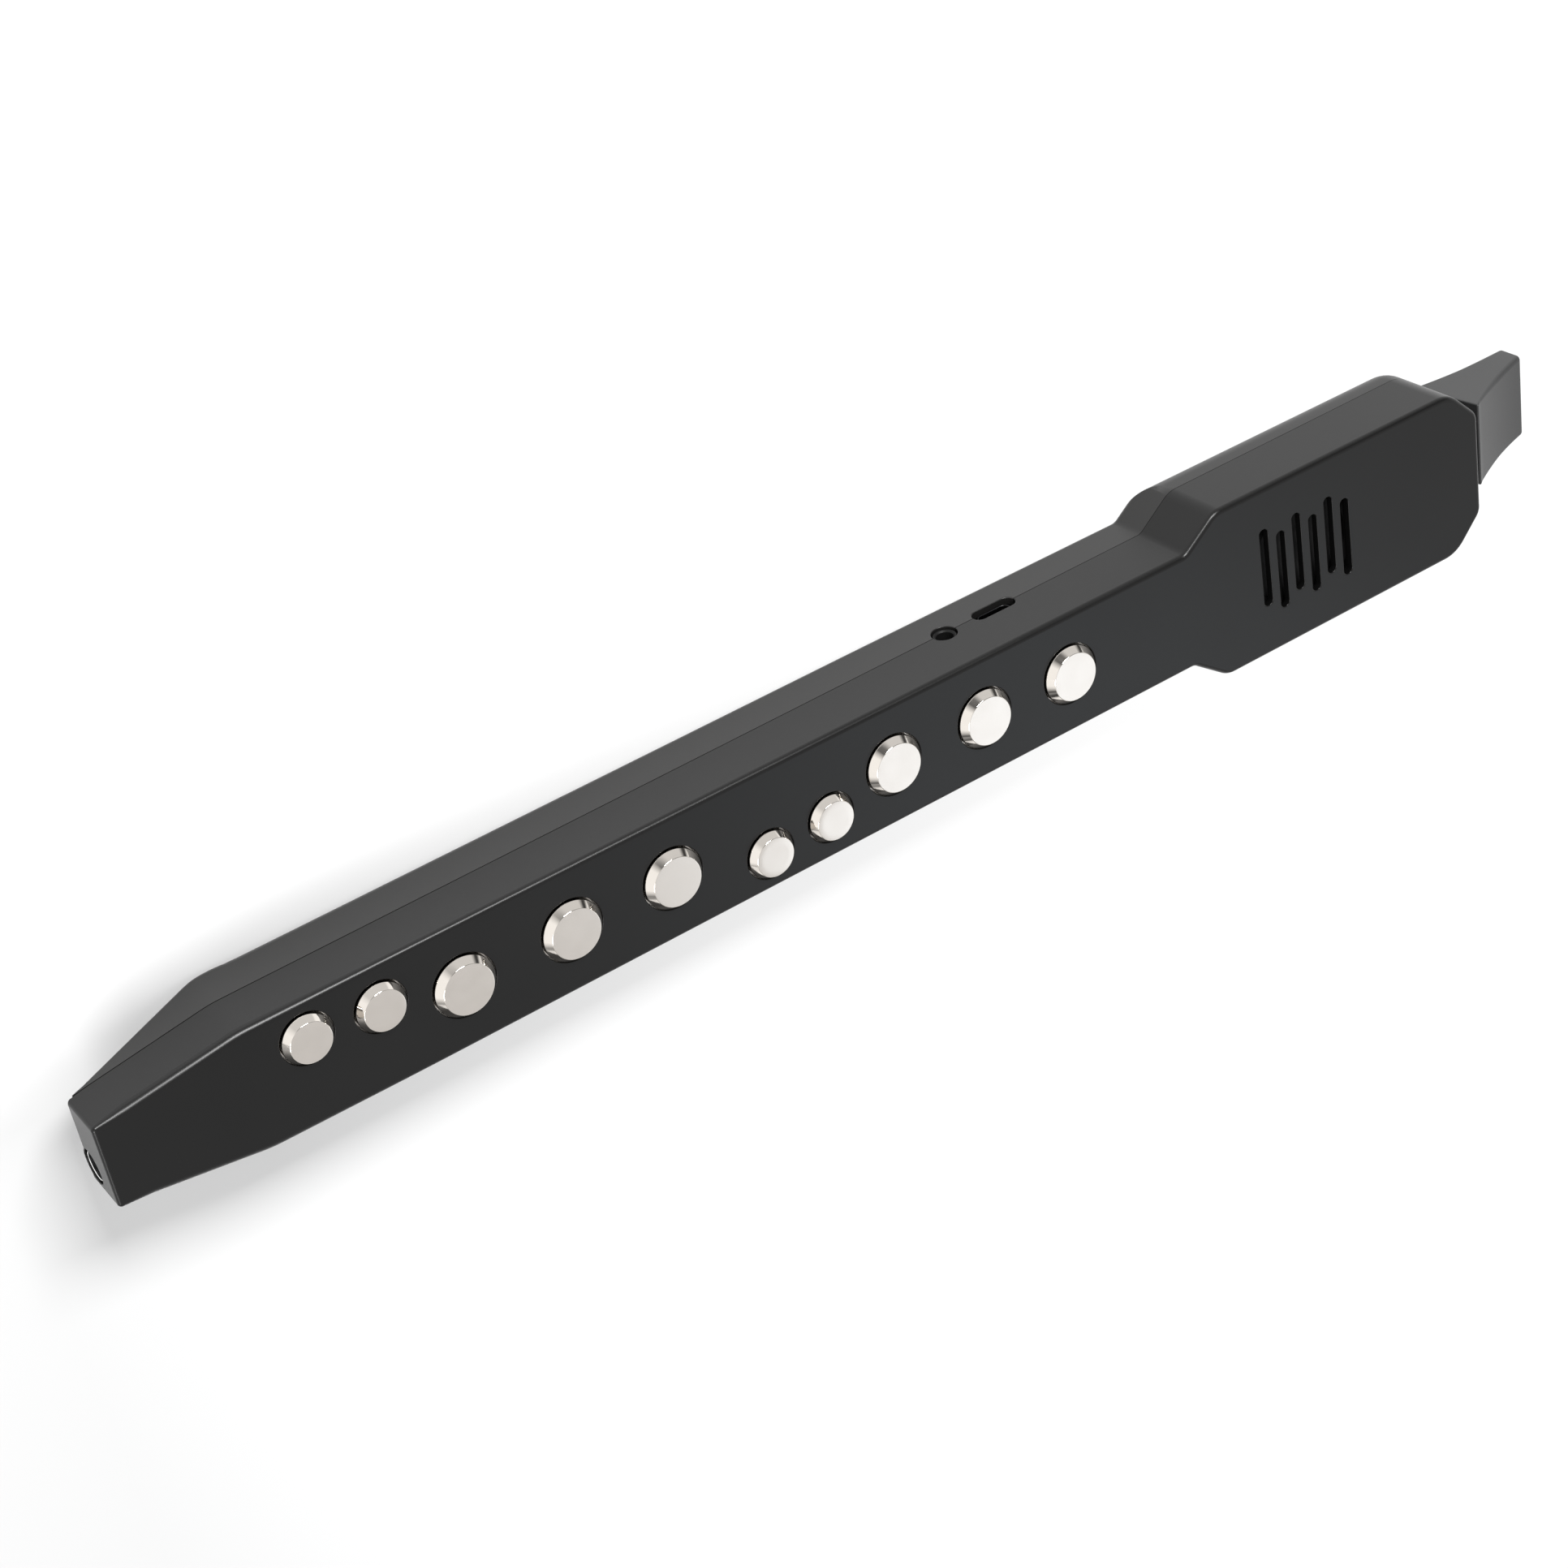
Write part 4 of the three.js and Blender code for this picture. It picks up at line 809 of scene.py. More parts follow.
# Openings on the seam, in the tail and in the head's end face
openings = {"jackRadius": 3.05, "portLength": 11.5, "portHeight": 4.1, "outletRadius": 3.9,
            "outletDepth": 7.5, "outletShift": (-0.4, 0.4), "neckRadius": 4.5}
jackX, portX = middle("headphone_jack")[0], middle("charging_socket")[0]
jackZ, portZ = seamLine(jackX), seamLine(portX)
sideY = casing["bodyWidth"] / 2
outletY, outletZ = [
    place + shift for place, shift in zip(middle("outlet_sleeve")[1:], openings["outletShift"])
]
neckZ = middle("sealing_ring")[2]


def seamOpenings():
    rim, size = casing["holeRim"], openings
    jack, outlet, depth = size["jackRadius"], size["outletRadius"], size["outletDepth"]
    jackHole = [(0, -5), (jack, -5)] + flare(jack, 0, rim) + [(jack + rim, 2), (0, 2)]
    portHole = loft(holeRings(stadium(size["portLength"], size["portHeight"]), -5, 0, 2))
    outletHole = [(0, -2), (outlet + rim, -2)] + flareBelow(outlet, rim)
    outletHole += [(outlet, depth), (0, depth)]
    return joined(
        facingSide(turned(jackHole, 56), jackX, sideY, jackZ),
        facingSide(portHole, portX, sideY, portZ),
        facingEnd(turned(outletHole, 56), 0, outletY, outletZ),
        facingEnd(turned(plug(size["neckRadius"], -4, 2), 48), casing["length"], 0, neckZ),
    )


# Posts, bosses and ribs inside the shells
screwNodes = sorted(name for name in frame["nodes"] if name.startswith("case_screw_"))
screwPlaces = [middle(name)[:2] for name in screwNodes]
fittings = {
    "bossRadius": 3.0, "spigotRadius": 2.0, "pilotRadius": 1.3, "pilotDepth": 5.4,
    "recessRadius": 2.3, "recessDepth": 3.0, "recessEdge": 0.2,
    "ringRadius": 16.3, "ringWall": 1.2, "ringHeight": 3.0,
    "outletBoss": 4.4, "outletBossEnd": 6.4, "outletBossEdge": 0.3,
    "standoffRadius": 1.8, "standoffShares": (0.08, 0.7), "standoffInset": 3.4,
    "pegRadius": 0.8, "pegRise": 0.6, "boardWall": 1.6, "smallBoardWall": 1.5,
    "ribWall": 1.4, "ribReach": 1.5,
}
boardHigh = span("main_board", 2)[1]
boardBottom = boardHigh - fittings["boardWall"]
postTop = boardBottom - casing["fit"]
speakerX = middle("speaker_frame")[0]


def atScrews(profile, sides):
    return [shifted(turned(profile, sides), x, y) for x, y in screwPlaces]


def frontFittings():
    size, roof = fittings, frontInner + sink
    boss, spigot = size["bossRadius"], size["spigotRadius"]
    forms = []
    for x, y in screwPlaces:
        # The bosses over the board reach through it on a spigot.
        onBoard = x < span("main_board", 0)[1]
        low = boardHigh + casing["fit"] if onBoard else boardBottom
        foot = [(0, boardBottom), (spigot, boardBottom), (spigot, low)] if onBoard else [(0, low)]
        forms.append(shifted(turned(foot + [(boss, low), (boss, roof), (0, roof)], 36), x, y))
    inner, outer = size["ringRadius"], size["ringRadius"] + size["ringWall"]
    low = frontInner - size["ringHeight"]
    ring = turned([(inner, low), (outer, low), (outer, roof), (inner, roof)], 72, wrap=True)
    return joined(*forms, shifted(ring, speakerX, 0))


def backFittings():
    size = fittings
    forms = atScrews(plug(size["bossRadius"], sink, postTop), 36)
    (x0, x1), (_, y1), (_, high) = [span("control_board", axis) for axis in range(3)]
    half, wide, peg = y1 - size["standoffInset"], size["standoffRadius"], size["pegRadius"]
    seat, tip = high - size["smallBoardWall"], high + size["pegRise"]
    profile = [(0, sink), (wide, sink), (wide, seat), (peg, seat), (peg, tip), (0, tip)]
    for share in size["standoffShares"]:
        for y in (half, -half):
            forms.append(shifted(turned(profile, 28), x0 + share * (x1 - x0), y))
    (x0, x1), (y0, y1), (low, _) = [span("port_board", axis) for axis in range(3)]
    for x in (x0, x1 - size["ribWall"]):
        top, end = low - casing["fit"], y1 + size["ribReach"]
        forms.append(block(x, x + size["ribWall"], y0, end, sink, top))
    return joined(*forms)


def screwHoles(bottom, top, recess):
    size = fittings
    pilot, wide, deep, edge = (size[key] for key in (
        "pilotRadius", "recessRadius", "recessDepth", "recessEdge"))
    profile = plug(pilot, bottom, top)
    if recess:
        profile[1:2] = [(wide + edge, bottom), (wide + edge, 0), (wide, edge), (wide, deep),
                        (pilot, deep)]
    return joined(*atScrews(profile, 40))


def outletBoss(gap):
    # The wall round the outlet stands a little proud of the slanted back.
    radius, end = fittings["outletBoss"] + gap, fittings["outletBossEnd"] + gap
    start, soft = -1 if gap else 0.02, fittings["outletBossEdge"]
    profile = [(0, start), (radius - soft, start), (radius, start + soft), (radius, end), (0, end)]
    return facingEnd(turned(profile, 50), 0, outletY, outletZ)


def paintSlotShade(shell):
    # Painted shade: the slots' own walls take a near-black matt finish that stands in for the shade
    # inside them.
    shell.data.materials.append(finish["slotWall"])
    for face in shell.data.polygons:
        centre = face.center / mm
        along, across = centre.x - tailX / mm - speakerX, centre.y
        inRow = abs(along) < slots["fieldLength"] / 2 and abs(across) < slots["fieldWidth"] / 2
        inWall = frontInner < centre.z < casing["front"] - 0.1
        if inRow and inWall and abs(face.normal.z) < 0.5:
            face.material_index = 1


def makeFrontShell():
    shell = newObject("frontCasing", frontForm(), finish["shellPlastic"])
    carve(shell, frontHollow())
    carve(shell, frontFittings(), "UNION")
    carve(shell, outletBoss(0), "UNION")
    carve(shell, joined(*[keyHole(key) for key in keys]))
    carve(shell, slotCutter())
    carve(shell, seamOpenings())
    carve(shell, screwHoles(boardBottom - 1, postTop + fittings["pilotDepth"], False))
    paintSlotShade(shell)
    return finishPiece(shell, "case", ["front_shell"])


# Back of the head: thumb keys, buttons and window
backKeys = {"radius": 5.5, "face": 0.5, "dish": 0.5, "gap": 0.35, "stem": 1.5, "sides": 72}
buttons = {"radius": 3.0, "face": 0.5, "dish": 0.35, "gap": 0.35, "stem": 1.0, "sides": 56}
dishShare, dishEdge = 0.8, ((0.35, 0), (0.1, 0.08), (0, 0.3))
window = {"length": 25.0, "width": 12.6, "corner": 1.5, "seat": 1.2, "lip": 1.4, "gap": 0.6}
windowX = middle("display_window")[0]
backNodes = {"octave_key_down": backKeys, "octave_key_up": backKeys,
             "power_button": buttons, "minus_button": buttons, "plus_button": buttons}


def backOpenings():
    rim, inside, seatZ = casing["holeRim"], casing["wall"] + 1, window["seat"]
    forms = []
    for node, size in backNodes.items():
        radius = size["radius"] + size["gap"]
        profile = [(0, -1), (radius + rim, -1)] + flareBelow(radius, rim)
        profile += [(radius, inside), (0, inside)]
        x, y, _ = middle(node)
        forms.append(shifted(turned(profile, 64), x, y))
    length, width = window["length"] + window["gap"], window["width"] + window["gap"]
    seat = rectangle(windowX, 0, length, width, window["corner"])
    through = insetCorners(seat, window["lip"], 0.4)
    rings = [level(seat, height, -rim, 8) for height in (-1, 0)]
    rings += [level(seat, height, 0, 8) for height in (rim, seatZ)]
    rings += [level(through, height, 0, 8) for height in (seatZ, inside)]
    return joined(*forms, loft(rings))


def makeBackShell():
    shell = newObject("backCasing", backForm(), finish["backPlastic"])
    carve(shell, headEnvelope(0), "INTERSECT")
    hollow = newObject("hollow", backHollow())
    carve(hollow, headEnvelope(casing["wall"]), "INTERSECT")
    carve(shell, hollow)
    carve(shell, backFittings(), "UNION")
    # The slanted back ends on the front shell, so the thin tip of this shell goes.
    carve(shell, block(*casing["tipCut"]))
    carve(shell, outletBoss(0.1))
    carve(shell, screwHoles(-1, postTop + 1, True))
    carve(shell, backOpenings())
    carve(shell, seamOpenings())
    return finishPiece(shell, "case", ["back_shell"])


shells = [makeFrontShell(), makeBackShell()]
print("casing:", [len(shell.data.polygons) for shell in shells], "faces")


# Finger keys: a satin top, a polished cone and a rim, seated on one point for each body
def keyForm(radius, stemBottom):
    size, front = keyShape, casing["front"]
    top, rim = front + size["rise"], front + size["rimRise"]
    topRadius, stem = radius * size["topShare"], size["stem"]
    flangeTop = frontInner - casing["fit"]
    flangeBottom = flangeTop - size["flange"]
    wide, soft = radius + 2 * casing["keyGap"], 0.1
    lean = Vector((topRadius - radius, top - rim)).normalized()
    profile = [(0, stemBottom), (stem - 0.2, stemBottom), (stem, stemBottom + 0.2),
               (stem, flangeBottom), (wide - soft, flangeBottom), (wide, flangeBottom + soft),
               (wide, flangeTop - soft), (wide - soft, flangeTop),
               (radius, flangeTop), (radius, rim - size["rimEdge"])]
    profile += softCorner((radius, rim), (0, 1), lean, size["rimEdge"])
    profile += softCorner((topRadius, top), lean, (-1, 0), size["topEdge"])
    profile += [(topRadius * share, top) for share in (0.66, 0.33, 0)]
    return turned(profile, 96)


def bendPoint(start, control, end, t):
    start, control, end = Vector(start), Vector(control), Vector(end)
    return start.lerp(control, t).lerp(control.lerp(end, t), t)


def softCorner(corner, arriving, leaving, size, steps=4):
    corner = Vector(corner)
    start, end = corner - Vector(arriving) * size, corner + Vector(leaving) * size
    return [tuple(bendPoint(start, corner, end, k / steps)) for k in range(steps + 1)]


def keyTree():
    tree = GeometryTree("keyOnPoint", {
        "Key": ("NodeSocketObject", None),
        "Flatness": ("NodeSocketFloat", 0.995),
        "Sides": ("NodeSocketMaterial", None),
        "Top": ("NodeSocketMaterial", None),
    })
    sides = tree.end(tree.copies(tree.given("Geometry"), "Key"), "Sides")
    upward = tree.split(tree.node("GeometryNodeInputNormal", {}, {}))[2]
    test = {0: upward, 1: tree.given("Flatness")}
    flat = tree.node("FunctionNodeCompare", {"operation": "GREATER_THAN"}, test)
    tree.paint(sides, "Top", Selection=flat)
    return tree


toOrigin = Matrix.Translation((-tailX / mm, 0, 0))


def makeKeys():
    tree = keyTree()
    stemBottom = span("key_cap_1", 2)[0]
    for radius in sorted({key["radius"] for key in keys}):
        form = newObject("keyForm", moved(keyForm(radius, stemBottom), toOrigin))
        for number, key in enumerate(keys, 1):
            if key["radius"] == radius:
                cap = newObject(f"fingerKey{number}", ([(key["x"], key["y"], 0)], []))
                looks = {"Sides": finish["keyPolish"], "Top": finish["keySatin"]}
                tree.use(cap, {"Key": form, **looks})
                finishPiece(cap, f"key_{number}", [key["node"]], 30)
        discard(form)


def backKeyForm(node, size):
    high = span(node, 2)[1]
    inner = casing["wall"] + casing["fit"]
    flange, radius, face = inner + keyShape["flange"], size["radius"], size["face"]
    wide, stem = radius + 2 * casing["keyGap"], size["stem"]
    profile = []
    for share in [k / 8 for k in range(9)]:
        profile.append((radius * dishShare * share, face + size["dish"] * (1 - share ** 2)))
    profile += [(radius - inset, face + rise) for inset, rise in dishEdge]
    profile += [(radius, inner), (wide, inner), (wide, flange), (stem, flange),
                (stem, high), (0, high)]
    x, y, _ = middle(node)
    return shifted(turned(profile, size["sides"]), x, y)


signs = {"length": 2.4, "width": 0.45, "corner": 0.2, "edge": 0.08, "ring": (0.85, 1.25),
         "low": -0.15, "high": 0.25}


def signForm(kind, x, y, height):
    # Low raised signs on the buttons: a plain ring, a bar and a cross
    low, high = height + signs["low"], height + signs["high"]
    if kind == "ring":
        inner, outer = signs["ring"]
        ring = [(inner, low), (outer, low), (outer, high), (inner, high)]
        return shifted(turned(ring, 40, wrap=True), x, y)
    bar = pad(signs["length"], signs["width"], signs["corner"], low, high, signs["edge"], 3, 2)
    upright = moved(bar, Matrix.Rotation(math.radians(90), 4, "Z"))
    return shifted(joined(bar, upright) if kind == "cross" else bar, x, y)


def makeBackControls():
    for side in ("down", "up"):
        node = f"octave_key_{side}"
        form = backKeyForm(node, backKeys)
        key = newObject(f"octaveKey{side.title()}", form, finish["octaveSatin"])
        finishPiece(key, f"octave_{side}", [node])
    for name, kind in (("power", "ring"), ("minus", "bar"), ("plus", "cross")):
        node = f"{name}_button"
        x, y, _ = middle(node)
        sign = signForm(kind, x, y, buttons["face"] + buttons["dish"])
        form = joined(backKeyForm(node, buttons), sign)
        button = newObject(f"{name}Button", form, finish["buttonPlastic"])
        finishPiece(button, name, [node])


makeKeys()
makeBackControls()
print("keys:", len(keys), "finger keys, 2 octave keys, 3 buttons")

# Sockets on the side, the outlet sleeve in the tail and the window in the back
jack = {"nose": 2.75, "noseEdge": 0.12, "noseLength": 2.6, "bore": 2.05, "boreEdge": 0.35,
        "face": 14.2, "depth": 10.5,
        "body": (6.2, 5.0, 0.4), "length": 11.6, "edge": 0.25}
port = {"length": 8.9, "height": 3.2, "sheet": 0.35, "lip": 0.1, "face": 13.6, "depth": 7.6,
        "floor": 1.0, "tongue": (6.4, 0.7, 0.2), "tongueRoot": 0.5, "tongueTip": -1.0,
        "tongueEdge": 0.15, "footHalf": 2.5, "footTop": 1.3, "footEnd": -1.5}
sleeve = {"radius": 3.35, "bore": 3.05, "face": 0.35, "lip": 0.12, "length": 7, "floor": 1,
          "spout": (0.7, 1.2)}


def makeJack():
    size = jack
    bore, edge, deep = size["bore"], size["boreEdge"], -size["depth"]
    low, wide, root = span("headphone_jack", 1)[0] - size["face"], size["nose"], -size["noseLength"]
    body = pad(*size["body"], low, low + size["length"], size["edge"])
    nose = [(0, root), (wide, root)] + fillet(wide, 0, size["noseEdge"], 3) + [(0, 0)]
    hole = [(0, deep), (bore, deep), (bore, -edge), (bore + edge, 0), (bore + edge, 1), (0, 1)]
    body, nose, hole = [facingSide(form, jackX, size["face"], jackZ) for form in (
        body, turned(nose, 56), turned(hole, 56))]
    made = newObject("phoneSocket", body, finish["socketPlastic"])
    carve(made, nose, "UNION")
    carve(made, hole)
    finishPiece(made, "case", ["headphone_jack"])


def makePort():
    size = port
    deep, lip, sheet = -size["depth"], size["lip"], size["sheet"]
    outer = stadium(size["length"], size["height"])
    inner = insetCorners(outer, sheet)
    rings = [level(outer, deep), level(outer, -lip), level(outer, 0, lip)]
    rings += [level(outer, 0, sheet - lip), level(inner, -lip), level(inner, size["floor"] + deep)]
    root, half = size["tongueRoot"] + deep, size["footHalf"]
    tongue = pad(*size["tongue"], root, size["tongueTip"], size["tongueEdge"], 4, 3)
    footLow = portZ - span("charging_socket", 2)[0]
    foot = block(-half, half, size["footTop"], footLow, deep, size["footEnd"])
    shell, tongue = [facingSide(form, portX, size["face"], portZ) for form in (
        joined(loft(rings), foot), tongue)]
    made = newObject("chargePort", shell, finish["portSteel"])
    madeTongue = newObject("chargeTongue", tongue, finish["socketPlastic"])
    finishPiece(madeTongue, "case", [])
    finishPiece(made, "case", ["charging_socket"])


def makeSleeve():
    size, high = sleeve, span("outlet_sleeve", 0)[1]
    low, end = size["face"], size["face"] + size["length"]
    bore, radius, lip, floor = size["bore"], size["radius"], size["lip"], end - size["floor"]
    tube, spout = size["spout"]
    profile = [(bore, floor), (bore, low + lip), (bore + lip, low), (radius - lip, low),
               (radius, low + lip), (radius, end - lip), (radius - lip, end), (spout, end),
               (spout, high - 0.1), (spout - 0.1, high), (tube, high), (tube, floor)]
    form = facingEnd(turned(profile, 56, wrap=True), 0, outletY, outletZ)
    made = newObject("outletCollar", form, finish["sleeveSteel"], finish["screwSteel"])
    # Painted shade: the bore's faces take the darker screw steel.
    for face in made.data.polygons:
        _, y, z = face.center / mm
        if math.hypot(y - outletY, z - outletZ) < bore + 0.01:
            face.material_index = 1
    finishPiece(made, "case", ["outlet_sleeve"])


def makeWindow():
    low, high = span("display_window", 2)
    outline = rectangle(windowX, 0, window["length"], window["width"], window["corner"])
    made = newObject("displayGlass", slab(outline, low, high, 0.15, 8, 3), finish["windowGlass"])
    finishPiece(made, "case", ["display_window"])


makeJack()
makePort()
makeSleeve()
makeWindow()
print("sockets, sleeve and window made")

# Case screws: one form on seven points, each turned by a seeded amount
screws = {"head": 2.0, "headHeight": 1.6, "shank": 0.95, "root": 0.82, "threads": 22,
          "dome": ((0, 0), (0.45, 0.04), (0.8, 0.16), (1, 0.35)), "tip": 0.8,
          "cross": 2.2, "crossWidth": 0.42, "crossDepth": 0.8}


def screwForm(low, high):
    size = screws
    head, shank, steps = size["head"], size["shank"], size["threads"]
    underHead = low + size["headHeight"]
    profile = [(head * share, low + rise) for share, rise in size["dome"]]
    profile += [(head, underHead), (shank, underHead)]
    for k in range(steps):
        height = underHead + (high - underHead - size["tip"]) * (k + 0.5) / steps
        profile.append((shank * (1.0 if k % 2 else size["root"]), height))
    return turned(profile + [(shank * 0.4, high - 0.3), (0, high)], 28)


def screwTree():
    tree = GeometryTree("screwPattern", {
        "Screw": ("NodeSocketObject", None),
        "Seed": ("NodeSocketInt", 7),
        "Finish": ("NodeSocketMaterial", None),
    })
    limits = {2: 0.0, 3: math.pi / 2, "Seed": tree.given("Seed")}
    spin = tree.node("FunctionNodeRandomValue", {"data_type": "FLOAT"}, limits, 1)
    turn = tree.node("ShaderNodeCombineXYZ", {}, {2: spin})
    tree.end(tree.copies(tree.given("Geometry"), "Screw", Rotation=turn), "Finish")
    return tree


def makeScrews():
    low, high = span(screwNodes[0], 2)
    screw = newObject("screwForm", moved(screwForm(low, high), toOrigin), finish["screwSteel"])
    half, wide = screws["cross"] / 2, screws["crossWidth"] / 2
    for long, short in ((half, wide), (wide, half)):
        cut = block(-long, long, -short, short, low - 1, low + screws["crossDepth"])
        carve(screw, moved(cut, toOrigin))
    places = newObject("caseScrews", ([(x, y, 0) for x, y in screwPlaces], []))
    screwTree().use(places, {"Screw": screw, "Finish": finish["screwSteel"]})
    discard(screw)
    finishPiece(places, "case", screwNodes)


makeScrews()
print("screws:", len(screwPlaces))

# Neck and seal
neck = {"shaft": 4.2, "flange": 5.5, "flangeWall": 2.2, "tenon": 4.0, "tenonLength": 12.0,
        "tenonEdge": 0.4, "groove": 0.8, "grooveFloor": 3.0, "sealCentre": 3.8,
        "bore": 1.8, "boreEdge": 0.3, "boreStart": 2,
        "collar": (12.0, 15.0, 3.0), "collarLength": 3.2, "collarEdge": 0.4,
        "block": (6.0, 12.6, 0.4), "blockLength": 7.0, "blockEdge": 0.2, "blockGap": 0.4,
        "nipple": 1.2, "nippleEdge": (0.15, 0.3), "nippleBore": 0.7, "nippleDepth": 2.4,
        "nippleY": 4.0, "nippleLength": 5.0, "chamber": (1.7, 3.3), "chamberRoom": (0.15, 0.13)}


def onAxis(form):
    return facingEnd(form, 0, 0, neckZ)


def makeNeck():
    size = neck
    shaft, flange, tenon, groove = (size[key] for key in ("shaft", "flange", "tenon", "groove"))
    inner = casing["length"] - casing["wall"] - casing["fit"]
    step, start = inner - size["flangeWall"], inner - size["blockLength"]
    collarStart = casing["length"] + casing["fit"]
    collarEnd = collarStart + size["collarLength"]
    end, edge, floor = collarEnd + size["tenonLength"], size["tenonEdge"], size["grooveFloor"]
    grooveStart, grooveEnd = [middle("sealing_ring")[0] + way for way in (-groove, groove)]
    profile = [(0, start + 0.5), (shaft, start + 0.5), (shaft, step), (flange, step),
               (flange, inner), (shaft, inner), (shaft, collarEnd - 1), (tenon, collarEnd - 1),
               (tenon, grooveStart), (floor, grooveStart), (floor, grooveEnd), (tenon, grooveEnd),
               (tenon, end - edge), (tenon - edge, end), (0, end)]
    made = newObject("neckPiece", onAxis(turned(profile, 64)), finish["neckPlastic"])
    for form in (
        pad(*size["collar"], collarStart, collarEnd, size["collarEdge"], 8, 3),
        pad(*size["block"], start, inner - size["blockGap"], size["blockEdge"], 3, 2),
    ):
        carve(made, onAxis(form), "UNION")
    # Two nipples for the tubes, whose bores meet the air channel in a cross chamber
    tip, wide, thin = start - size["nippleLength"], size["nipple"], size["nippleBore"]
    inset, slope = size["nippleEdge"]
    pipe = [(0, tip), (wide - inset, tip), (wide, tip + slope), (wide, start + 1), (0, start + 1)]
    hole = plug(thin, tip - 1, start + size["nippleDepth"])
    for profile, sides, operation in ((pipe, 28, "UNION"), (hole, 24, "DIFFERENCE")):
        pair = [facingEnd(turned(profile, sides), 0, y, neckZ)
                for y in (size["nippleY"], -size["nippleY"])]
        carve(made, joined(*pair), operation)
    first, last = [start + way for way in size["chamber"]]
    reach, tall = size["nippleY"] + thin + size["chamberRoom"][0], thin + size["chamberRoom"][1]
    carve(made, block(first, last, -reach, reach, neckZ - tall, neckZ + tall))
    bore, opening, low = size["bore"], size["bore"] + size["boreEdge"], start + size["boreStart"]
    channel = [(0, low), (bore, low), (bore, end - size["boreEdge"]), (opening, end),
               (opening, end + 1), (0, end + 1)]
    carve(made, onAxis(turned(channel, 40)))
    finishPiece(made, "case", ["mouthpiece_neck"])


def makeSeal():
    x, _, z = middle("sealing_ring")
    low, high = span("sealing_ring", 0)
    radius, centre = (high - low) / 2, neck["sealCentre"]
    angles = [math.pi / 8 * k for k in range(16)]
    section = [(centre + radius * math.cos(a), radius * math.sin(a)) for a in angles]
    form = facingEnd(turned(section, 64, wrap=True), x, 0, z)
    made = newObject("neckSeal", form, finish["sealRubber"])
    finishPiece(made, "case", ["sealing_ring"], 80)


# Mouthpiece: its front and back lines are curves of three points, x and z
mouth = {"width": 22.1, "waist": 0.1, "waistRun": 1.1,
         "front": ((374.0, 19.4), (387.3, 12.3), (400.0, 8.7)),
         "back": ((371.4, 0.3), (385.0, 1.9), (400.0, 1.7)),
         "edges": (0.5, 1.2), "tipEdge": 0.9, "baseEdge": 0.35,
         "socket": 4.6, "socketEnd": 383.8, "channel": 1.3,
         "slot": (2.2, 12.0, 1.0), "slotDepth": 8.0, "slotEdge": 0.05}
mouthTip, tipFront = mouth["front"][2]
mouthLength = mouthTip - mouth["front"][0][0]


def mouthRing(t, inset, push=0.0):
    size = mouth
    front, back = bendPoint(*size["front"], t), bendPoint(*size["back"], t)
    half = size["width"] / 2 - size["waist"] * math.sin(math.pi * min(t * size["waistRun"], 1.0))
    height = front.y - back.y
    baseEdge, tipEdge = size["edges"]
    edge = baseEdge + (tipEdge - baseEdge) * min(t * 2, 1.0)
    corners = insetCorners(rectangle(0, 0, height, 2 * half, edge), inset, 0.25)
    ring = []
    for point in roundedRing(corners, 7, [evenly(3), evenly(5)] * 2):
        share = 0.5 + point.x / height
        x = back.x + (front.x - back.x) * share + push
        ring.append((x, -point.y, back.y + height * share))
    return ring


def tipRing(inset, x):
    t = 1 - (mouthTip - x) / mouthLength
    return [(x, y, z) for _, y, z in mouthRing(t, inset)]


def makeMouthpiece():
    size = mouth
    base, tip, steps = size["baseEdge"], size["tipEdge"], 22
    rings = [mouthRing(0, base * (1 - s), base * (1 - c)) for s, c in quarter(4)]
    first, last = 0.02, 1 - tip / mouthLength
    rings += [mouthRing(first + (last - first) * k / steps, 0) for k in range(1, steps + 1)]
    rings += [tipRing(tip * (1 - c), mouthTip - tip + tip * s) for s, c in quarter(7)[1:]]
    made = newObject("mouthpieceShell", loft(rings, caps="whole"), finish["mouthPlastic"])
    if signedVolume(made.data) < 0:
        made.data.flip_normals()
    socketEnd, slotStart = size["socketEnd"], mouthTip - size["slotDepth"]
    airZ = (tipFront + size["back"][2][1]) / 2
    for form, z in (
        (turned(plug(size["socket"], size["back"][0][0] - 2, socketEnd), 56), neckZ),
        (pad(*size["slot"], slotStart, mouthTip + 1, size["slotEdge"], 6, 1), airZ),
        (turned(plug(size["channel"], socketEnd - 1, slotStart + 1), 32), airZ),
    ):
        carve(made, facingEnd(form, 0, 0, z))
    finishPiece(made, "mouthpiece_part", ["mouthpiece"], 40)


def signedVolume(mesh):
    mesh.calc_loop_triangles()
    total = 0.0
    for triangle in mesh.loop_triangles:
        a, b, c = (mesh.vertices[i].co for i in triangle.vertices)
        total += a.dot(b.cross(c))
    return total


makeNeck()
makeSeal()
makeMouthpiece()
print("neck and mouthpiece made")

# Inner pieces keep their CAD shape and get their finishes, by how their names start.
innerFinishes = {
    "switchPlastic": ("key_switch_", "octave_switch_", "port_board", "board_header",
                      "breath_sensor"),
    "boardLacquer": ("main_board", "control_board"),
    # The gasket behind the slots takes the same near-black finish, as painted shade seen through
    # them.
    "slotWall": ("speaker_gasket",), "basketSteel": ("speaker_frame",),
    "conePaper": ("speaker_cone",), "magnetPlate": ("speaker_magnet",),
    "cellFoam": ("battery_pad",), "leadSleeve": ("battery_lead", "speaker_lead"),
    "cellWrap": ("battery",), "windowGlass": ("display_module",),
    "tubeSilicone": ("air_tube", "drain_tube"),
}
for name, node in frame["nodes"].items():
    if node.hide_render:
        continue
    look = next(key for key, starts in innerFinishes.items() if name.startswith(starts))
    node.data.materials.clear()
    node.data.materials.append(finish[look])
print("inner pieces painted")

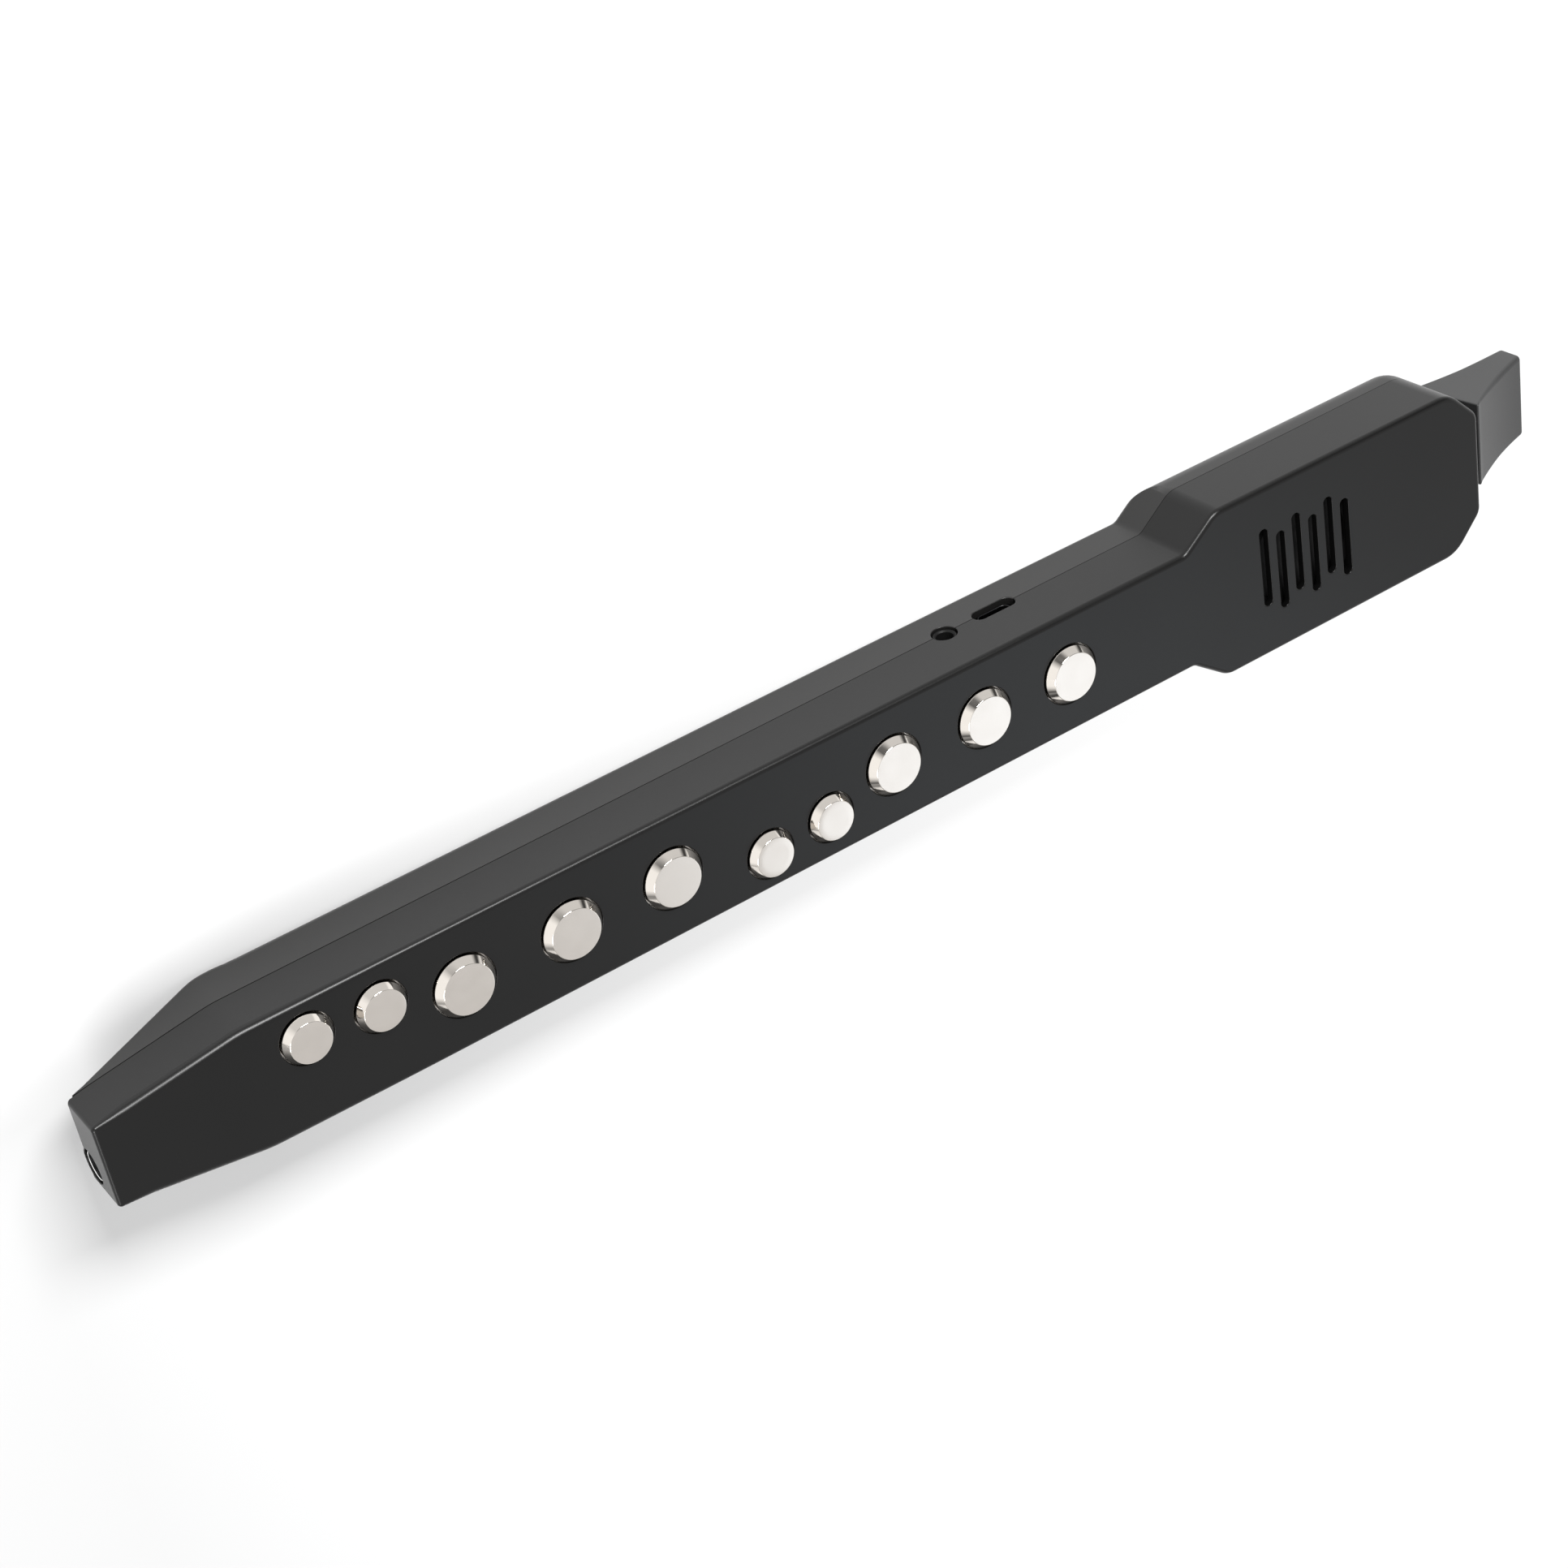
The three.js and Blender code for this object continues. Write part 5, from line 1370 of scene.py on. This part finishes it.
# Floor, lights, room and camera
studio = {
    # The floor's colour ramp is a painted shadow under the tail and painted light behind the
    # instrument
    "floorSize": 6.0, "paintedShadowStart": 0.55, "shadowFadeAlong": 2.6, "shadeLiftBehind": 14.0,
    "paintedShadowTones": ((0.0, 0.60), (1.0, 1.0)),
    "glow": 1.05, "glowStart": 0.5, "glowAlong": 2.5, "glowShares": ((0.10, 0.0), (0.70, 0.85)),
    "camera": (-0.29612, 0.34289, 0.49496),
    "turn": (-26.23734, -34.03774, -10.98133),
    "lens": 68.118, "sensor": 36,
}
lights = {
    "frontSoftbox": dict(place=(0.67, -0.74, 0.95), target=(0.05, 0, 0), size=(0.40, 0.40),
                         power=0.42, tint=(0.90, 1.0, 1.10)),
    "keyLight": dict(place=(0.02, 0.94, 0.80), target=(0, 0, 0), size=(0.6, 0.3), power=17),
    "tailLight": dict(place=(-0.9, -0.35, 0.75), target=(-0.2, -0.05, 0), size=(0.5, 0.5), power=6),
}
room = {
    "strength": 0.76, "seenShade": 1.1, "patchScale": 1.7,
    "windowSide": (-0.90, 0.05, 0.40), "windowGlow": 1.5,
    # Ramps, as places and values
    "walls": ((0.44, 0.08), (0.56, 1.1)), "ceiling": ((0.3, 0.80), (1.0, 1.0)),
    "ceilingStart": ((0.22, 0), (0.42, 1)), "windowEdge": ((0.60, 0), (0.86, 1)),
    "darkSide": ((0.12, 0), (0.45, 0.78)), "darkHeight": ((0.30, 0), (0.42, 1)),
    "lowSide": ((0.45, 0), (0.60, 1)), "lowHeight": ((0.36, 1), (0.42, 0)),
}


def makeFloor():
    size, half = studio, studio["floorSize"] / 2
    corners = [(-half, -half, 0), (half, -half, 0), (half, half, 0), (-half, half, 0)]
    mesh = bpy.data.meshes.new("floor")
    mesh.from_pydata(corners, [], [(0, 1, 2, 3)])
    material, sheet, shader = newMaterial("paleFloor")
    mesh.materials.append(material)
    along, across, _ = sheet.split(sheet.place())
    # Painted shadow and painted light in the floor's colour: darker under the tail's near side as a
    # painted shadow, palest towards the head and behind the instrument, where it paints out the
    # shade
    behind = sheet.sum("MAXIMUM", across * size["shadeLiftBehind"], 0.0)
    reach = size["paintedShadowStart"] + along * size["shadowFadeAlong"] + behind
    sheet.feed(shader, {
        "Base Color": sheet.ramp(reach, *size["paintedShadowTones"]),
        "Roughness": 0.75 + sheet.noise(2.0, 2.0) * 0.1,
    })
    # Towards the head the floor glows a little, which thins the shadow there.
    sockets = {"Color": colour(1, 1, 1), "Strength": size["glow"]}
    glow = sheet.node("ShaderNodeEmission", {}, sockets)
    lit = sheet.ramp(size["glowStart"] + along * size["glowAlong"], *size["glowShares"])
    sockets = {0: lit, 1: Wire(sheet, shader.outputs[0]), 2: glow}
    both = sheet.node("ShaderNodeMixShader", {}, sockets)
    sheet.feed(sheet.tree.nodes["Material Output"], {"Surface": both})
    addObject("floor", mesh)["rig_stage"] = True


def makeWorld():
    world = bpy.data.worlds.new("studioRoom")
    bpy.context.scene.world = world
    world.use_nodes = True
    sheet = Sheet(world.node_tree)
    direction = sheet.node("ShaderNodeTexCoord", {}, {}, "Generated")
    _, side, height = sheet.split(direction)

    def ramp(wire, key):
        return sheet.ramp(wire, *room[key])

    # Patchy walls under an even ceiling
    sockets = {"Vector": direction, "Scale": room["patchScale"], "Detail": 1.0}
    walls = ramp(sheet.node("ShaderNodeTexNoise", {}, sockets), "walls")
    glow = sheet.blendColour(ramp(height, "ceilingStart"), walls, ramp(height, "ceiling"))
    # On the sockets' side it is dark high up and bright low down.
    dark = ramp(side, "darkSide") * ramp(height, "darkHeight")
    low = ramp(side, "lowSide") * ramp(height, "lowHeight")
    glow = sheet.blendColour(low, sheet.blendColour(dark, glow, shade(0.0)), shade(1.0))
    # A window beyond the tail
    sockets = {0: direction, 1: Vector(room["windowSide"]).normalized()}
    facing = sheet.node("ShaderNodeVectorMath", {"operation": "DOT_PRODUCT"}, sockets, 1)
    glow = sheet.blendColour(ramp(facing, "windowEdge"), glow, shade(room["windowGlow"]))
    seen = sheet.node("ShaderNodeLightPath", {}, {}, "Is Camera Ray")
    backdrop = sheet.blendColour(seen, glow, shade(room["seenShade"]))
    background = {"Color": backdrop, "Strength": room["strength"]}
    sheet.feed(sheet.tree.nodes["Background"], background)


def makeLight(name, place, target, size, power, tint=(1, 1, 1)):
    lamp = bpy.data.lights.new(name, "AREA")
    lamp.shape = "RECTANGLE"
    lamp.size, lamp.size_y = size
    lamp.energy, lamp.color = power, tint
    aim = Vector(target) - Vector(place)
    addObject(name, lamp, place, aim.to_track_quat("-Z", "Y").to_euler())


def makeCamera():
    camera = bpy.data.cameras.new("photoCamera")
    camera.lens, camera.sensor_width = studio["lens"], studio["sensor"]
    camera.clip_start, camera.clip_end = 0.01, 20
    turn = [math.radians(angle) for angle in studio["turn"]]
    bpy.context.scene.camera = addObject("photoCamera", camera, studio["camera"], turn)


makeFloor()
makeWorld()
for name, look in lights.items():
    makeLight(name, **look)
makeCamera()
bpy.context.scene.view_settings.view_transform = "Standard"
print("stage set")

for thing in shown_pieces():
    if "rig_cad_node" not in thing:
        lengths = [round(value / mm, 1) for value in thing.dimensions]
        print(thing.name, lengths, len(thing.data.polygons))
